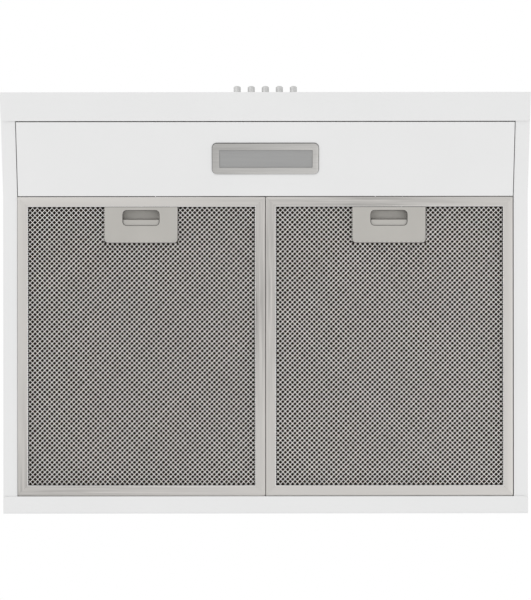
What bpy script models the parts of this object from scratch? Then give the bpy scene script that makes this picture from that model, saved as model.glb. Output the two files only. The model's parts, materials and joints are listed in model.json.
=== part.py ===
"""A 60 cm under cabinet range hood, as separate pieces, in metres.

+Z is up, -Y is the front and +Y the wall. The origin is on the top panel's upper face, in the middle of
the four keyholes that hang the hood under a cabinet. The underside is flat over the two grease filters
and slopes down to the front over the light panel and the front lip.
"""

import math

import bmesh
import bpy
from mathutils import Matrix, Vector

# Shell
WIDTH = 0.598
DEPTH = 0.4778
BACK_HEIGHT = 0.125
FRONT_DIP = 0.02486
SHEET = 0.001
GAP = 0.0003
WALL_Y = 0.165
TOP_DEPTH = 0.300
FRONT_FACE_HEIGHT = 0.0496
LIP_DEPTH = 0.0321
LIGHT_PANEL_ZONE = 0.0838
REAR_FLANGE = 0.0199
OPENING_HALF = 0.2829
BEND_RADIUS = 0.006
LIP_BEND_RADIUS = 0.0025
FLANGE_CORNER_RADIUS = 0.0037
BACK_FLANGE = 0.015
BACK_FLANGE_HALF = 0.270

HALF_WIDTH = WIDTH / 2
FRONT_Y = WALL_Y - DEPTH
SLOPE_START_Y = WALL_Y - TOP_DEPTH
FRONT_BOTTOM_Z = -BACK_HEIGHT - FRONT_DIP
FRONT_TOP_Z = FRONT_BOTTOM_Z + FRONT_FACE_HEIGHT
LIP_END_Y = FRONT_Y + LIP_DEPTH
BREAK_Y = LIP_END_Y + LIGHT_PANEL_ZONE
REAR_FLANGE_Y = WALL_Y - REAR_FLANGE
UNDERSIDE_SLOPE = FRONT_DIP / (BREAK_Y - FRONT_Y)
LIP_END_Z = FRONT_BOTTOM_Z + LIP_DEPTH * UNDERSIDE_SLOPE

# Fixings
CABINET_KEYHOLE = (0.250, 0.100)
WALL_KEYHOLE = (0.200, -0.040)
KEYHOLE_RADIUS = 0.005
KEYHOLE_SLOT_HALF = 0.0026
KEYHOLE_LENGTH = 0.009

# Louvres in the front slope
LOUVRE_COUNT = 8
LOUVRE_PITCH = 0.011
LOUVRE_SIZE = (0.0045, 0.070)
LOUVRE_GROUP_X = 0.110

# Light panel and lamp; local heights are measured up from the panel's lower face
LIGHT_PANEL_GAP = 0.001
LIGHT_PANEL_FLANGE = 0.007
BEZEL_SIZE = (0.1208, 0.0365)
BEZEL_RADIUS = 0.0052
BEZEL_STEP = 0.0018
LENS_SIZE = (0.105, 0.020)
NECK_SIZE = (0.109, 0.024)
NECK_HEIGHT = 0.006
LAMP_HOUSING_SIZE = (0.118, 0.033)
LAMP_HOUSING_HEIGHT = 0.0175
DRIVER_SIZE = (0.080, 0.034, 0.020)
DRIVER_X = -0.170

# Push buttons
BUTTON_NAMES = ("button_lamp", "button_stop", "button_speed_1", "button_speed_2", "button_speed_3")
BUTTON_PITCH = 0.016
BUTTON_RADIUS = 0.0045
BUTTON_REACH = 0.010
BUTTON_TRAVEL = 0.004
BUTTON_Z = -0.1246
STEM_RADIUS = 0.0021
SWITCH_FRONT = 0.011
SWITCH_DEPTH = 0.0171

# Fan
FAN_X = -0.045
FAN_Y = -0.030
WHEEL_RADIUS = 0.070
WHEEL_INNER_RADIUS = 0.0565
WHEEL_TOP_Z = -0.043
WHEEL_BOTTOM_Z = -0.0905
BLADE_COUNT = 30
SPIRAL_START_DEG = 98
SPIRAL_RADII = (0.079, 0.110)
VOLUTE_TRIM = 1000  # degrees for each metre outwards
HOUSING_WALL = 0.002
HOUSING_TOP_Z = -0.0063
HOUSING_BOTTOM_Z = -0.0963
INLET_RADIUS = 0.056
COVER_FLANGE = 0.007
COVER_Z = (-0.006, -0.004)
SHAFT_RADIUS = 0.004
BORE_RADIUS = 0.0044
MOTOR_RADIUS = 0.040
MOTOR_Z = (-0.039, -0.0105)

# Outlet
OUTLET_Y = 0.077
COLLAR_RADIUS = 0.060
COLLAR_WALL = 0.0025
COLLAR_HEIGHT = 0.040
CHAMBER_RADIUS = 0.065
DAMPER_PIN_Z = 0.0105
DAMPER_PIN_RADIUS = 0.0018
FLAP_RADIUS = 0.056

# Electrics
TERMINAL_BOX_LOW = (0.165, 0.085)
TERMINAL_BOX_SIZE = 0.065
TERMINAL_BOX_TOP_Z = -0.004
TERMINAL_BOX_HEIGHT = 0.036
LEAD_RADIUS = 0.0025
GLAND_XY = (0.1975, 0.125)
GROMMET_RADIUS = 0.010

# Grease filters
FILTER_WIDTH = 0.2815
FILTER_CENTRE_X = 0.14125
FILTER_FRONT_Y = BREAK_Y + 0.0006
FILTER_REAR_Y = REAR_FLANGE_Y - 0.0011
FILTER_HEIGHT = 0.009
FRAME_BAR = 0.0113
FRAME_WEB = 0.0048
FRAME_SHEET = 0.001
FILTER_BOTTOM_Z = -BACK_HEIGHT
FILTER_TOP_Z = FILTER_BOTTOM_Z + FILTER_HEIGHT
LUG_SIZE = (0.024, 0.009, 0.0012)
LUG_X = 0.090

# Filter handle and latch, from the filter's front edge
HANDLE_SIZE = (0.0837, 0.0409)
HANDLE_CORNER = 0.004
POCKET_SIZE = (0.043, 0.0179)
POCKET_CORNER = 0.0048
POCKET_FRONT = 0.0153
CUP_LENGTH = 0.0255
CUP_WALL = 0.001
LATCH_LIP_FRONT = 0.026
LATCH_LIP_REAR = 0.036
LATCH_HALF_WIDTH = 0.0209
CATCH_REACH = 0.003

RAIL_HALF_WIDTH = 0.012
RAIL_HEIGHT = 0.012

FINISHES = {
    "white_paint": ((0.80, 0.80, 0.80), 0.35, 0.0),
    "brushed_steel": ((0.62, 0.61, 0.59), 0.35, 1.0),
    "aluminium_frame": ((0.66, 0.65, 0.62), 0.38, 1.0),
    "aluminium_mesh": ((0.45, 0.44, 0.42), 0.45, 1.0),
    "grey_plastic": ((0.49, 0.47, 0.44), 0.5, 0.0),
    "chrome": ((0.70, 0.70, 0.70), 0.15, 1.0),
    "lens": ((0.36, 0.36, 0.355), 0.45, 0.0),
    "black_plastic": ((0.03, 0.03, 0.03), 0.5, 0.0),
    "white_plastic": ((0.75, 0.75, 0.73), 0.5, 0.0),
    "galvanised": ((0.50, 0.51, 0.52), 0.45, 1.0),
    "steel": ((0.55, 0.55, 0.56), 0.3, 1.0),
    "circuit_board": ((0.75, 0.76, 0.72), 0.6, 0.0),
    "grey_cable": ((0.22, 0.22, 0.23), 0.55, 0.0),
    "rubber": ((0.04, 0.04, 0.04), 0.8, 0.0),
}


# Scene, materials and modelling helpers


def clear_scene():
    for obj in list(bpy.data.objects):
        bpy.data.objects.remove(obj)


def new_collection(name):
    collection = bpy.data.collections.new(name)
    bpy.context.scene.collection.children.link(collection)
    return collection


def finish_material(name):
    found = bpy.data.materials.get(name)
    if found:
        return found
    colour, roughness, metallic = FINISHES[name]
    made = bpy.data.materials.new(name)
    made.use_nodes = True
    shader = made.node_tree.nodes["Principled BSDF"]
    shader.inputs["Base Color"].default_value = (*colour, 1)
    shader.inputs["Roughness"].default_value = roughness
    shader.inputs["Metallic"].default_value = metallic
    return made


def add_object(name, data, finish, matrix=None, parent=None):
    """A new object. One with no finish is a helper that cuts or joins, and isn't rendered."""
    obj = bpy.data.objects.new(name, data)
    obj.parent = parent
    obj.matrix_local = matrix or Matrix()
    if finish:
        HOOD.objects.link(obj)
        data.materials.append(finish_material(finish))
    else:
        HELPERS.objects.link(obj)
        obj.hide_render = True
        obj.display_type = "WIRE"
    return obj


def mesh_object(name, bm, finish, matrix=None, parent=None, smooth=False):
    mesh = bpy.data.meshes.new(name)
    bm.to_mesh(mesh)
    bm.free()
    if smooth:
        mesh.shade_smooth()
        mesh.set_sharp_from_angle(angle=math.radians(35))
    return add_object(name, mesh, finish, matrix, parent)


def boxes(name, spans, finish, matrix=None, parent=None):
    """Boxes, each given by its lowest and highest corner, in one object."""
    bm = bmesh.new()
    for low, high in spans:
        low = Vector(low)
        high = Vector(high)
        place = Matrix.Translation((low + high) / 2) @ Matrix.Diagonal((*(high - low), 1))
        bmesh.ops.create_cube(bm, size=1, matrix=place)
    return mesh_object(name, bm, finish, matrix, parent)


def cylinders(name, places, radius, length, finish, segments=24):
    """Round bars along the local Z of each of the given matrices, in one object."""
    bm = bmesh.new()
    for place in places:
        bmesh.ops.create_cone(
            bm, cap_ends=True, segments=segments, radius1=radius, radius2=radius, depth=length, matrix=place
        )
    return mesh_object(name, bm, finish, smooth=True)


def flat_shape(name, outlines, z_low, z_high, finish, matrix=None, parent=None):
    """A flat plate from closed outlines, where an outline inside another is a hole."""
    curve = bpy.data.curves.new(name, "CURVE")
    curve.dimensions = "2D"
    curve.fill_mode = "BOTH"
    curve.extrude = (z_high - z_low) / 2
    for outline in outlines:
        spline = curve.splines.new("POLY")
        spline.points.add(len(outline) - 1)
        for point, (x, y) in zip(spline.points, outline):
            point.co = (x, y, 0, 1)
        spline.use_cyclic_u = True
    guide = bpy.data.objects.new(name + "_outline", curve)
    bpy.context.scene.collection.objects.link(guide)
    graph = bpy.context.evaluated_depsgraph_get()
    mesh = bpy.data.meshes.new_from_object(guide.evaluated_get(graph))
    bpy.data.objects.remove(guide)
    bm = bmesh.new()
    bm.from_mesh(mesh)
    bpy.data.meshes.remove(mesh)
    bmesh.ops.remove_doubles(bm, verts=bm.verts, dist=1e-6)
    bmesh.ops.translate(bm, verts=bm.verts, vec=(0, 0, (z_low + z_high) / 2))
    bmesh.ops.recalc_face_normals(bm, faces=bm.faces)
    return mesh_object(name, bm, finish, matrix, parent)


def turned(name, profile, finish, matrix=None, parent=None, segments=32):
    """A solid turned about local Z from a profile of (radius, height), top to bottom."""
    bm = bmesh.new()
    points = [bm.verts.new((radius, 0, height)) for radius, height in profile]
    closed = profile[0][0] > 0
    pairs = list(zip(points, points[1:]))
    if closed:
        pairs.append((points[-1], points[0]))
    for pair in pairs:
        bm.edges.new(pair)
    obj = mesh_object(name, bm, finish, matrix, parent)
    screw = obj.modifiers.new("Turn", "SCREW")
    screw.steps = segments
    screw.render_steps = segments
    screw.use_merge_vertices = True
    screw.merge_threshold = 1e-6
    return obj


def thicken(obj, thickness):
    """Thickens an open sheet away from the side that its faces point to."""
    solidify = obj.modifiers.new("Sheet", "SOLIDIFY")
    solidify.thickness = thickness
    solidify.offset = -1
    solidify.use_even_offset = True


def folded_sheet(name, path, half_width, thickness, finish, centre_x=0, corner_radius=0, flipped=False):
    """A bent strip whose outer face follows a path in (y, z).

    The outer face points along way x X, where way is the direction of the path, or the other way if
    flipped. corner_radius rounds the two corners at the end of the path.
    """
    bm = bmesh.new()
    rows = [[bm.verts.new((centre_x + side * half_width, y, z)) for side in (-1, 1)] for y, z in path]
    for (a, b), (c, d) in zip(rows, rows[1:]):
        bm.faces.new((a, b, d, c) if flipped else (a, c, d, b))
    obj = mesh_object(name, bm, finish)
    if corner_radius:
        group = obj.vertex_groups.new(name="corners")
        group.add([2 * len(path) - 2, 2 * len(path) - 1], 1, "REPLACE")
        bevel = obj.modifiers.new("Corners", "BEVEL")
        bevel.affect = "VERTICES"
        bevel.limit_method = "VGROUP"
        bevel.vertex_group = "corners"
        bevel.width = corner_radius
        bevel.segments = 4
    thicken(obj, thickness)
    return obj


def tray(name, outline, depth, thickness, finish, matrix=None, parent=None):
    """A sheet with a rim all round: the outline lies at local z 0 and its rim rises to depth."""
    if signed_area(outline) < 0:
        outline = outline[::-1]
    bm = bmesh.new()
    low = [bm.verts.new((x, y, 0)) for x, y in outline]
    high = [bm.verts.new((x, y, depth)) for x, y in outline]
    bm.faces.new(low[::-1])
    for i, corner in enumerate(low):
        following = (i + 1) % len(low)
        bm.faces.new((corner, low[following], high[following], high[i]))
    obj = mesh_object(name, bm, finish, matrix, parent)
    thicken(obj, thickness)
    return obj


def boolean(obj, operation, others):
    for other in others:
        modifier = obj.modifiers.new(operation.title(), "BOOLEAN")
        modifier.operation = operation
        modifier.solver = "EXACT"
        modifier.object = other


def cut(obj, *cutters):
    boolean(obj, "DIFFERENCE", cutters)


def join(obj, *pieces):
    boolean(obj, "UNION", pieces)


def lead(name, route, finish="grey_cable"):
    """A round cable on a smooth curve through the points of its route."""
    curve = bpy.data.curves.new(name, "CURVE")
    curve.dimensions = "3D"
    curve.bevel_depth = LEAD_RADIUS
    curve.bevel_resolution = 2
    curve.use_fill_caps = True
    points = smooth_route(route, 0.015)
    spline = curve.splines.new("POLY")
    spline.points.add(len(points) - 1)
    for point, place in zip(spline.points, points):
        point.co = (*place, 1)
    return add_object(name, curve, finish)


# Outlines


def signed_area(outline):
    following = outline[1:] + outline[:1]
    return sum(x0 * y1 - x1 * y0 for (x0, y0), (x1, y1) in zip(outline, following)) / 2


def arc(centre, radius, start_deg, end_deg, steps):
    """Points on a circle from one angle to another, both included."""
    angles = [math.radians(start_deg + (end_deg - start_deg) * i / steps) for i in range(steps + 1)]
    return [(centre[0] + radius * math.cos(a), centre[1] + radius * math.sin(a)) for a in angles]


def circle(centre, radius, segments):
    return arc(centre, radius, 0, 360, segments)[:-1]


def rounded(points, radii, closed=False, steps=4):
    """The same corners, each replaced by an arc of its own radius where that is over 0."""
    made = []
    for i, (point, radius) in enumerate(zip(points, radii)):
        ends = not closed and i in (0, len(points) - 1)
        if ends or radius <= 0:
            made.append(point)
            continue
        corner = Vector(point)
        back = (Vector(points[i - 1]) - corner).normalized()
        ahead = (Vector(points[(i + 1) % len(points)]) - corner).normalized()
        half = back.angle(ahead) / 2
        centre = corner + (back + ahead).normalized() * radius / math.sin(half)
        first = corner + back * radius / math.tan(half) - centre
        last = corner + ahead * radius / math.tan(half) - centre
        turn = first.angle_signed(last)
        for step in range(steps + 1):
            share = -turn * step / steps
            made.append(tuple(centre + Matrix.Rotation(share, 2) @ first))
    return made


def rounded_box(centre, size, radii, steps=4):
    """A rectangle with its corners rounded: front left, front right, rear right, rear left."""
    x = size[0] / 2
    y = size[1] / 2
    corners = [(-x, -y), (x, -y), (x, y), (-x, y)]
    return rounded([(centre[0] + u, centre[1] + v) for u, v in corners], radii, closed=True, steps=steps)


def inset(outline, distance):
    """A closed outline moved inwards by a distance, corner by corner."""
    if signed_area(outline) < 0:
        distance = -distance
    made = []
    for i, point in enumerate(outline):
        corner = Vector(point)
        before = (corner - Vector(outline[i - 1])).normalized()
        after = (Vector(outline[(i + 1) % len(outline)]) - corner).normalized()
        inward = before.orthogonal() + after.orthogonal()
        made.append(tuple(corner + inward * distance / (1 + before.dot(after))))
    return made


def keyhole(centre, towards):
    """A keyhole whose narrow slot runs from the round entry along +Y or -Y."""
    edge = math.degrees(math.asin(KEYHOLE_SLOT_HALF / KEYHOLE_RADIUS))
    entry = arc((0, 0), KEYHOLE_RADIUS, 90 + edge, 450 - edge, 14)
    slot = arc((0, KEYHOLE_LENGTH), KEYHOLE_SLOT_HALF, 0, 180, 6)
    return [(centre[0] + x, centre[1] + towards * y) for x, y in entry + slot]


def smooth_route(route, step):
    """Points about a step apart on a Catmull-Rom curve through the route."""
    ends = [route[0], *route, route[-1]]
    made = []
    for a, b, c, d in zip(ends, ends[1:], ends[2:], ends[3:]):
        a, b, c, d = Vector(a), Vector(b), Vector(c), Vector(d)
        count = max(1, round((c - b).length / step))
        for i in range(count):
            t = i / count
            square = (2 * a - 5 * b + 4 * c - d) * t**2
            cube = (3 * b - a - 3 * c + d) * t**3
            made.append((2 * b + (c - a) * t + square + cube) / 2)
    made.append(Vector(route[-1]))
    return made


# Shell


def side_profile():
    """The hood's outline seen from the side, in (y, z), from the rear top round to the rear bottom."""
    return [
        (WALL_Y, 0),
        (SLOPE_START_Y, 0),
        (FRONT_Y, FRONT_TOP_Z),
        (FRONT_Y, FRONT_BOTTOM_Z),
        (BREAK_Y, -BACK_HEIGHT),
        (WALL_Y, -BACK_HEIGHT),
    ]


def slope_frame():
    """Local X along the hood, local Y down the front slope, local Z inwards, from the slope's middle."""
    top = Vector((0, SLOPE_START_Y, 0))
    bottom = Vector((0, FRONT_Y, FRONT_TOP_Z))
    down = (bottom - top).normalized()
    across = Vector((-1, 0, 0))
    matrix = Matrix((across, down, across.cross(down))).transposed().to_4x4()
    return Matrix.Translation((top + bottom) / 2) @ matrix


def louvre_outlines():
    made = []
    for group in (-LOUVRE_GROUP_X, 0, LOUVRE_GROUP_X):
        for i in range(LOUVRE_COUNT):
            y = (i - (LOUVRE_COUNT - 1) / 2) * LOUVRE_PITCH
            size = (LOUVRE_SIZE[1], LOUVRE_SIZE[0])
            radius = LOUVRE_SIZE[0] / 2 - 0.0002
            made.append(rounded_box((group, y), size, [radius] * 4, 2))
    return made


def fan_screw_places():
    """Three screws round the spiral and one beside the outlet, in the middle of the housing's flange."""
    flange = COVER_FLANGE / 2 + 0.0005
    places = [spiral_point(angle, flange) for angle in (150, 225, 318)]
    return places + arc((0, OUTLET_Y), CHAMBER_RADIUS + flange, 50, 410, 1)[:1]


def top_panel_holes():
    x, y = CABINET_KEYHOLE
    outlines = [keyhole((sx * x, sy * y), 1) for sx in (-1, 1) for sy in (-1, 1)]
    outlines.append(circle((0, OUTLET_Y), COLLAR_RADIUS + 0.001, 48))
    outlines.append(circle(GLAND_XY, GROMMET_RADIUS + 0.0004, 24))
    outlines += [circle(place, 0.0023, 8) for place in fan_screw_places()]
    return flat_shape("top_holes", outlines, -0.003, 0.003, None)


def button_places(z_local=0.0):
    """A matrix for each button: local Z points out of the front face, and z_local moves along it."""
    out_of_face = Matrix.Rotation(math.radians(90), 4, "X")
    made = []
    for i in range(len(BUTTON_NAMES)):
        x = (i - (len(BUTTON_NAMES) - 1) / 2) * BUTTON_PITCH
        made.append(Matrix.Translation((x, FRONT_Y - z_local, BUTTON_Z)) @ out_of_face)
    return made


def make_top_and_front_panel():
    path = side_profile()[:4] + [(LIP_END_Y, LIP_END_Z)]
    path = rounded(path, [0, BEND_RADIUS, BEND_RADIUS, LIP_BEND_RADIUS, 0])
    panel = folded_sheet(
        "top_front_panel", path, HALF_WIDTH, SHEET, "white_paint", corner_radius=FLANGE_CORNER_RADIUS
    )
    louvres = flat_shape("louvre_slots", louvre_outlines(), -0.004, 0.004, None, slope_frame())
    buttons = cylinders("button_holes", button_places(), BUTTON_RADIUS + 0.0004, 0.006, None, 16)
    cut(panel, top_panel_holes(), louvres, buttons)


def make_side_panel(name, side):
    """The rim that shows from below is as wide as the side margin of the filter opening."""
    outline = inset(side_profile(), SHEET + GAP)
    bend = BEND_RADIUS - SHEET - GAP
    hem = LIP_BEND_RADIUS - SHEET - GAP
    outline = rounded(outline, [0, bend, bend, hem, 0, hem], closed=True)
    outline = [(-side * y, z) for y, z in outline]
    axes = Matrix(((0, -side, 0), (0, 0, 1), (-side, 0, 0))).transposed().to_4x4()
    place = Matrix.Translation((side * HALF_WIDTH, 0, 0)) @ axes
    tray(name, outline, HALF_WIDTH - OPENING_HALF, SHEET, "white_paint", place)


def make_back_panel():
    top_z = -SHEET - GAP
    path = [(WALL_Y, top_z), (WALL_Y, -BACK_HEIGHT), (REAR_FLANGE_Y, -BACK_HEIGHT)]
    path = rounded(path, [0, LIP_BEND_RADIUS, 0])
    radius = FLANGE_CORNER_RADIUS
    panel = folded_sheet(
        "back_panel", path, HALF_WIDTH, SHEET, "white_paint", corner_radius=radius, flipped=True
    )
    x, z = WALL_KEYHOLE
    upright = Matrix.Translation((0, WALL_Y, 0)) @ Matrix.Rotation(math.radians(90), 4, "X")
    keyholes = [keyhole((side * x, z), 1) for side in (-1, 1)]
    holes = flat_shape("wall_keyholes", keyholes, -0.003, 0.003, None, upright)
    low = (-BACK_FLANGE_HALF, WALL_Y - BACK_FLANGE, top_z - SHEET)
    high = (BACK_FLANGE_HALF, WALL_Y - SHEET / 2, top_z - 0.0001)
    flange = boxes("back_top_flange", [(low, high)], None)
    join(panel, flange)
    cut(panel, holes)


def light_panel_frame():
    """An empty on the light panel's lower face: local Y runs up its slope to the rear, local Z is up."""
    frame = bpy.data.objects.new("light_panel_frame", None)
    HOOD.objects.link(frame)
    y = (LIP_END_Y + BREAK_Y) / 2
    z = -BACK_HEIGHT - (BREAK_Y - y) * UNDERSIDE_SLOPE
    frame.matrix_local = Matrix.Translation((0, y, z)) @ Matrix.Rotation(math.atan(UNDERSIDE_SLOPE), 4, "X")
    return frame


def make_light_panel(frame):
    length = (LIGHT_PANEL_ZONE - 2 * LIGHT_PANEL_GAP) / math.cos(math.atan(UNDERSIDE_SLOPE))
    size = (2 * (OPENING_HALF - LIGHT_PANEL_GAP), length)
    outline = rounded_box((0, 0), size, [0] * 4)
    panel = tray("light_panel", outline, LIGHT_PANEL_FLANGE, SHEET, "white_paint", parent=frame)
    aperture = rounded_box((0, 0), (NECK_SIZE[0] + 0.0008, NECK_SIZE[1] + 0.0008), [0.001] * 4)
    cut(panel, flat_shape("lamp_aperture", [aperture], -0.004, 0.004, None, parent=frame))


def make_filter_centre_rail():
    low = FILTER_TOP_Z + GAP
    path = [
        (-RAIL_HALF_WIDTH, low + RAIL_HEIGHT),
        (-RAIL_HALF_WIDTH, low),
        (RAIL_HALF_WIDTH, low),
        (RAIL_HALF_WIDTH, low + RAIL_HEIGHT),
    ]
    front = BREAK_Y - 0.008
    rear = WALL_Y - SHEET - GAP
    rail = folded_sheet("filter_centre_rail", path, (rear - front) / 2, SHEET, "white_paint")
    turn = Matrix.Rotation(math.radians(-90), 4, "Z")
    rail.matrix_local = Matrix.Translation((0, (front + rear) / 2, 0)) @ turn


# Lamp


def make_lamp(frame):
    hole = rounded_box((0, 0), (LENS_SIZE[0] + 0.0006, LENS_SIZE[1] + 0.0006), [0.0012] * 4)
    bezel = flat_shape(
        "lamp_bezel",
        [rounded_box((0, 0), BEZEL_SIZE, [BEZEL_RADIUS] * 4), hole],
        -BEZEL_STEP,
        -GAP,
        "brushed_steel",
        parent=frame,
    )
    neck_outline = rounded_box((0, 0), NECK_SIZE, [0.001] * 4)
    neck = flat_shape("bezel_neck", [neck_outline, hole], -0.0009, NECK_HEIGHT, None, parent=frame)
    join(bezel, neck)
    lens_outline = rounded_box((0, 0), LENS_SIZE, [0.001] * 4)
    flat_shape("lamp_lens", [lens_outline], -0.0014, 0.0008, "lens", parent=frame)
    upside_down = Matrix.Translation((0, 0, LAMP_HOUSING_HEIGHT)) @ Matrix.Rotation(math.pi, 4, "X")
    tray(
        "lamp_housing",
        rounded_box((0, 0), LAMP_HOUSING_SIZE, [0.002] * 4),
        LAMP_HOUSING_HEIGHT - SHEET - GAP,
        0.0015,
        "white_plastic",
        upside_down,
        frame,
    )
    board = ((-0.050, -0.008, 0.0140), (0.050, 0.008, 0.0156))
    boxes("lamp_led_board", [board], "circuit_board", parent=frame)
    x, y, z = DRIVER_SIZE
    low = (DRIVER_X - x / 2, -y / 2, SHEET + GAP)
    high = (DRIVER_X + x / 2, y / 2, low[2] + z)
    driver = boxes("led_driver", [(low, high)], "white_plastic", parent=frame)
    bevel = driver.modifiers.new("Edges", "BEVEL")
    bevel.width = 0.002
    bevel.segments = 2


# Controls


def make_buttons():
    profile = [
        (0, BUTTON_REACH),
        (0.0017, BUTTON_REACH - 0.0003),
        (0.0032, BUTTON_REACH - 0.0013),
        (0.0042, BUTTON_REACH - 0.0028),
        (BUTTON_RADIUS, BUTTON_REACH - 0.0045),
        (BUTTON_RADIUS, -0.0014),
        (0.0056, -0.0014),
        (0.0056, -0.0026),
        (BUTTON_RADIUS, -0.0026),
        (BUTTON_RADIUS, -0.006),
        (STEM_RADIUS, -0.006),
        (STEM_RADIUS, -0.017),
        (0, -0.017),
    ]
    for name, place in zip(BUTTON_NAMES, button_places()):
        turned(name, profile, "chrome", place, segments=16)


def make_switch():
    front = FRONT_Y + SWITCH_FRONT
    rear = front + SWITCH_DEPTH
    block = boxes("switch_block", [((-0.044, front, -0.1376), (0.044, rear, -0.1108))], "black_plastic")
    hole_depth = STEM_RADIUS + BUTTON_TRAVEL + 0.0065
    middle = -(SWITCH_FRONT + hole_depth / 2 - 0.001)
    cut(block, cylinders("stem_holes", button_places(middle), STEM_RADIUS + 0.0008, hole_depth, None, 12))
    inner_y = FRONT_Y + SHEET + GAP
    path = [(inner_y, -0.1045), (inner_y, -0.1105), (rear, -0.1105)]
    folded_sheet("switch_bracket", rounded(path, [0, 0.0015, 0]), 0.055, SHEET, "galvanised")


# Fan


def spiral_point(angle_deg, outwards=0.0):
    share = (angle_deg - SPIRAL_START_DEG) / (360 - SPIRAL_START_DEG)
    radius = SPIRAL_RADII[0] + (SPIRAL_RADII[1] - SPIRAL_RADII[0]) * share + outwards
    angle = math.radians(angle_deg)
    return (FAN_X + radius * math.cos(angle), FAN_Y + radius * math.sin(angle))


def volute(outwards=0.0):
    """The fan housing's outline: a widening spiral round the wheel, then a half circle under the outlet.

    The further outwards it lies, the more is trimmed off both curves where the half circle ends.
    """
    steps = 20
    trim = outwards * VOLUTE_TRIM
    first = SPIRAL_START_DEG + 1.5 + trim
    spiral = [spiral_point(first + (360 - first) * i / steps, outwards) for i in range(steps + 1)]
    return spiral + arc((0, OUTLET_Y), CHAMBER_RADIUS + outwards, 0, 205 - trim, 14)


def make_fan_housing():
    place = Matrix.Translation((0, 0, HOUSING_BOTTOM_Z))
    height = HOUSING_TOP_Z - HOUSING_BOTTOM_Z
    housing = tray("fan_housing", volute(), height, HOUSING_WALL, "black_plastic", place)
    inlet_outline = circle((FAN_X, FAN_Y), INLET_RADIUS, 40)
    floor = HOUSING_BOTTOM_Z
    inlet = flat_shape("inlet_hole", [inlet_outline], floor - 0.005, floor + 0.005, None)
    lead_place = Matrix.Translation((SPIRAL_RADII[1] + FAN_X, FAN_Y + 0.001, -0.026))
    along_x = lead_place @ Matrix.Rotation(math.pi / 2, 4, "Y")
    wire_hole = cylinders("motor_lead_hole", [along_x], LEAD_RADIUS + 0.002, 0.014, None, 16)
    cut(housing, inlet, wire_hole)
    outlines = [volute(COVER_FLANGE), circle((0, OUTLET_Y), COLLAR_RADIUS - COLLAR_WALL, 40)]
    outlines += [circle(point, 0.0023, 8) for point in fan_screw_places()]
    flat_shape("fan_housing_cover", outlines, *COVER_Z, "galvanised")
    shank = [(0, -GAP), (0.0018, -GAP), (0.0018, -0.0065)]
    head = [(0.0036, -0.0065), (0.003, -0.0085), (0, -0.0085)]
    for i, (x, y) in enumerate(fan_screw_places()):
        turned(f"fan_screw_{i + 1}", shank + head, "steel", Matrix.Translation((x, y, 0)), segments=12)


def make_inlet_guard():
    """Rings and spokes: the gaps between them are the holes of one flat outline."""
    outlines = [circle((FAN_X, FAN_Y), 0.063, 36)]
    spoke_half = 0.0013
    for inner, outer in ((0.0145, 0.0275), (0.0295, 0.0415), (0.0435, 0.0545)):
        for quarter in range(6):
            middle = quarter * 60
            a = 30 - math.degrees(spoke_half / inner)
            b = 30 - math.degrees(spoke_half / outer)
            sector = arc((FAN_X, FAN_Y), outer, middle - b, middle + b, 4)
            sector += arc((FAN_X, FAN_Y), inner, middle + a, middle - a, 3)
            outlines.append(sector)
    flat_shape("inlet_guard", outlines, HOUSING_BOTTOM_Z - 0.0028, HOUSING_BOTTOM_Z - GAP, "black_plastic")


def blade_outline(index):
    """One thin forward-curved blade, as two arcs a blade's thickness apart."""
    thickness = 0.0012
    steps = 2
    turn = 2 * math.pi * index / BLADE_COUNT
    faces = []
    for offset in (-thickness / 2, thickness / 2):
        face = []
        for i in range(steps + 1):
            share = i / steps
            radius = WHEEL_INNER_RADIUS + (WHEEL_RADIUS - 0.0008 - WHEEL_INNER_RADIUS) * share
            angle = turn + 0.16 * share**2 + offset / radius
            face.append((radius * math.cos(angle), radius * math.sin(angle)))
        faces.append(face)
    return faces[0] + faces[1][::-1]


def make_fan_wheel():
    centre = Matrix.Translation((FAN_X, FAN_Y, 0))
    blades = [blade_outline(i) for i in range(BLADE_COUNT)]
    low = WHEEL_BOTTOM_Z + 0.0012
    high = WHEEL_TOP_Z - 0.0012
    wheel = flat_shape("impeller", blades, low, high, "black_plastic", centre)
    hub_profile = [
        (BORE_RADIUS, WHEEL_TOP_Z),
        (WHEEL_RADIUS, WHEEL_TOP_Z),
        (WHEEL_RADIUS, WHEEL_TOP_Z - 0.002),
        (0.011, WHEEL_TOP_Z - 0.002),
        (0.010, -0.075),
        (BORE_RADIUS, -0.075),
    ]
    ring_profile = [
        (0.0555, WHEEL_BOTTOM_Z + 0.002),
        (WHEEL_RADIUS + 0.0005, WHEEL_BOTTOM_Z + 0.002),
        (WHEEL_RADIUS + 0.0005, WHEEL_BOTTOM_Z),
        (0.0555, WHEEL_BOTTOM_Z),
    ]
    join(
        wheel,
        turned("wheel_back_plate", hub_profile, None, centre, segments=36),
        turned("wheel_ring", ring_profile, None, centre, segments=36),
    )
    shaft = [(0, -0.0135), (SHAFT_RADIUS, -0.0135), (SHAFT_RADIUS, -0.083), (0, -0.083)]
    turned("motor_shaft", shaft, "steel", centre, segments=24)
    nut = [circle((0, 0), 0.0065, 6), circle((0, 0), BORE_RADIUS, 24)]
    flat_shape("impeller_nut", nut, -0.0803, -0.0753, "steel", centre)


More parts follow.
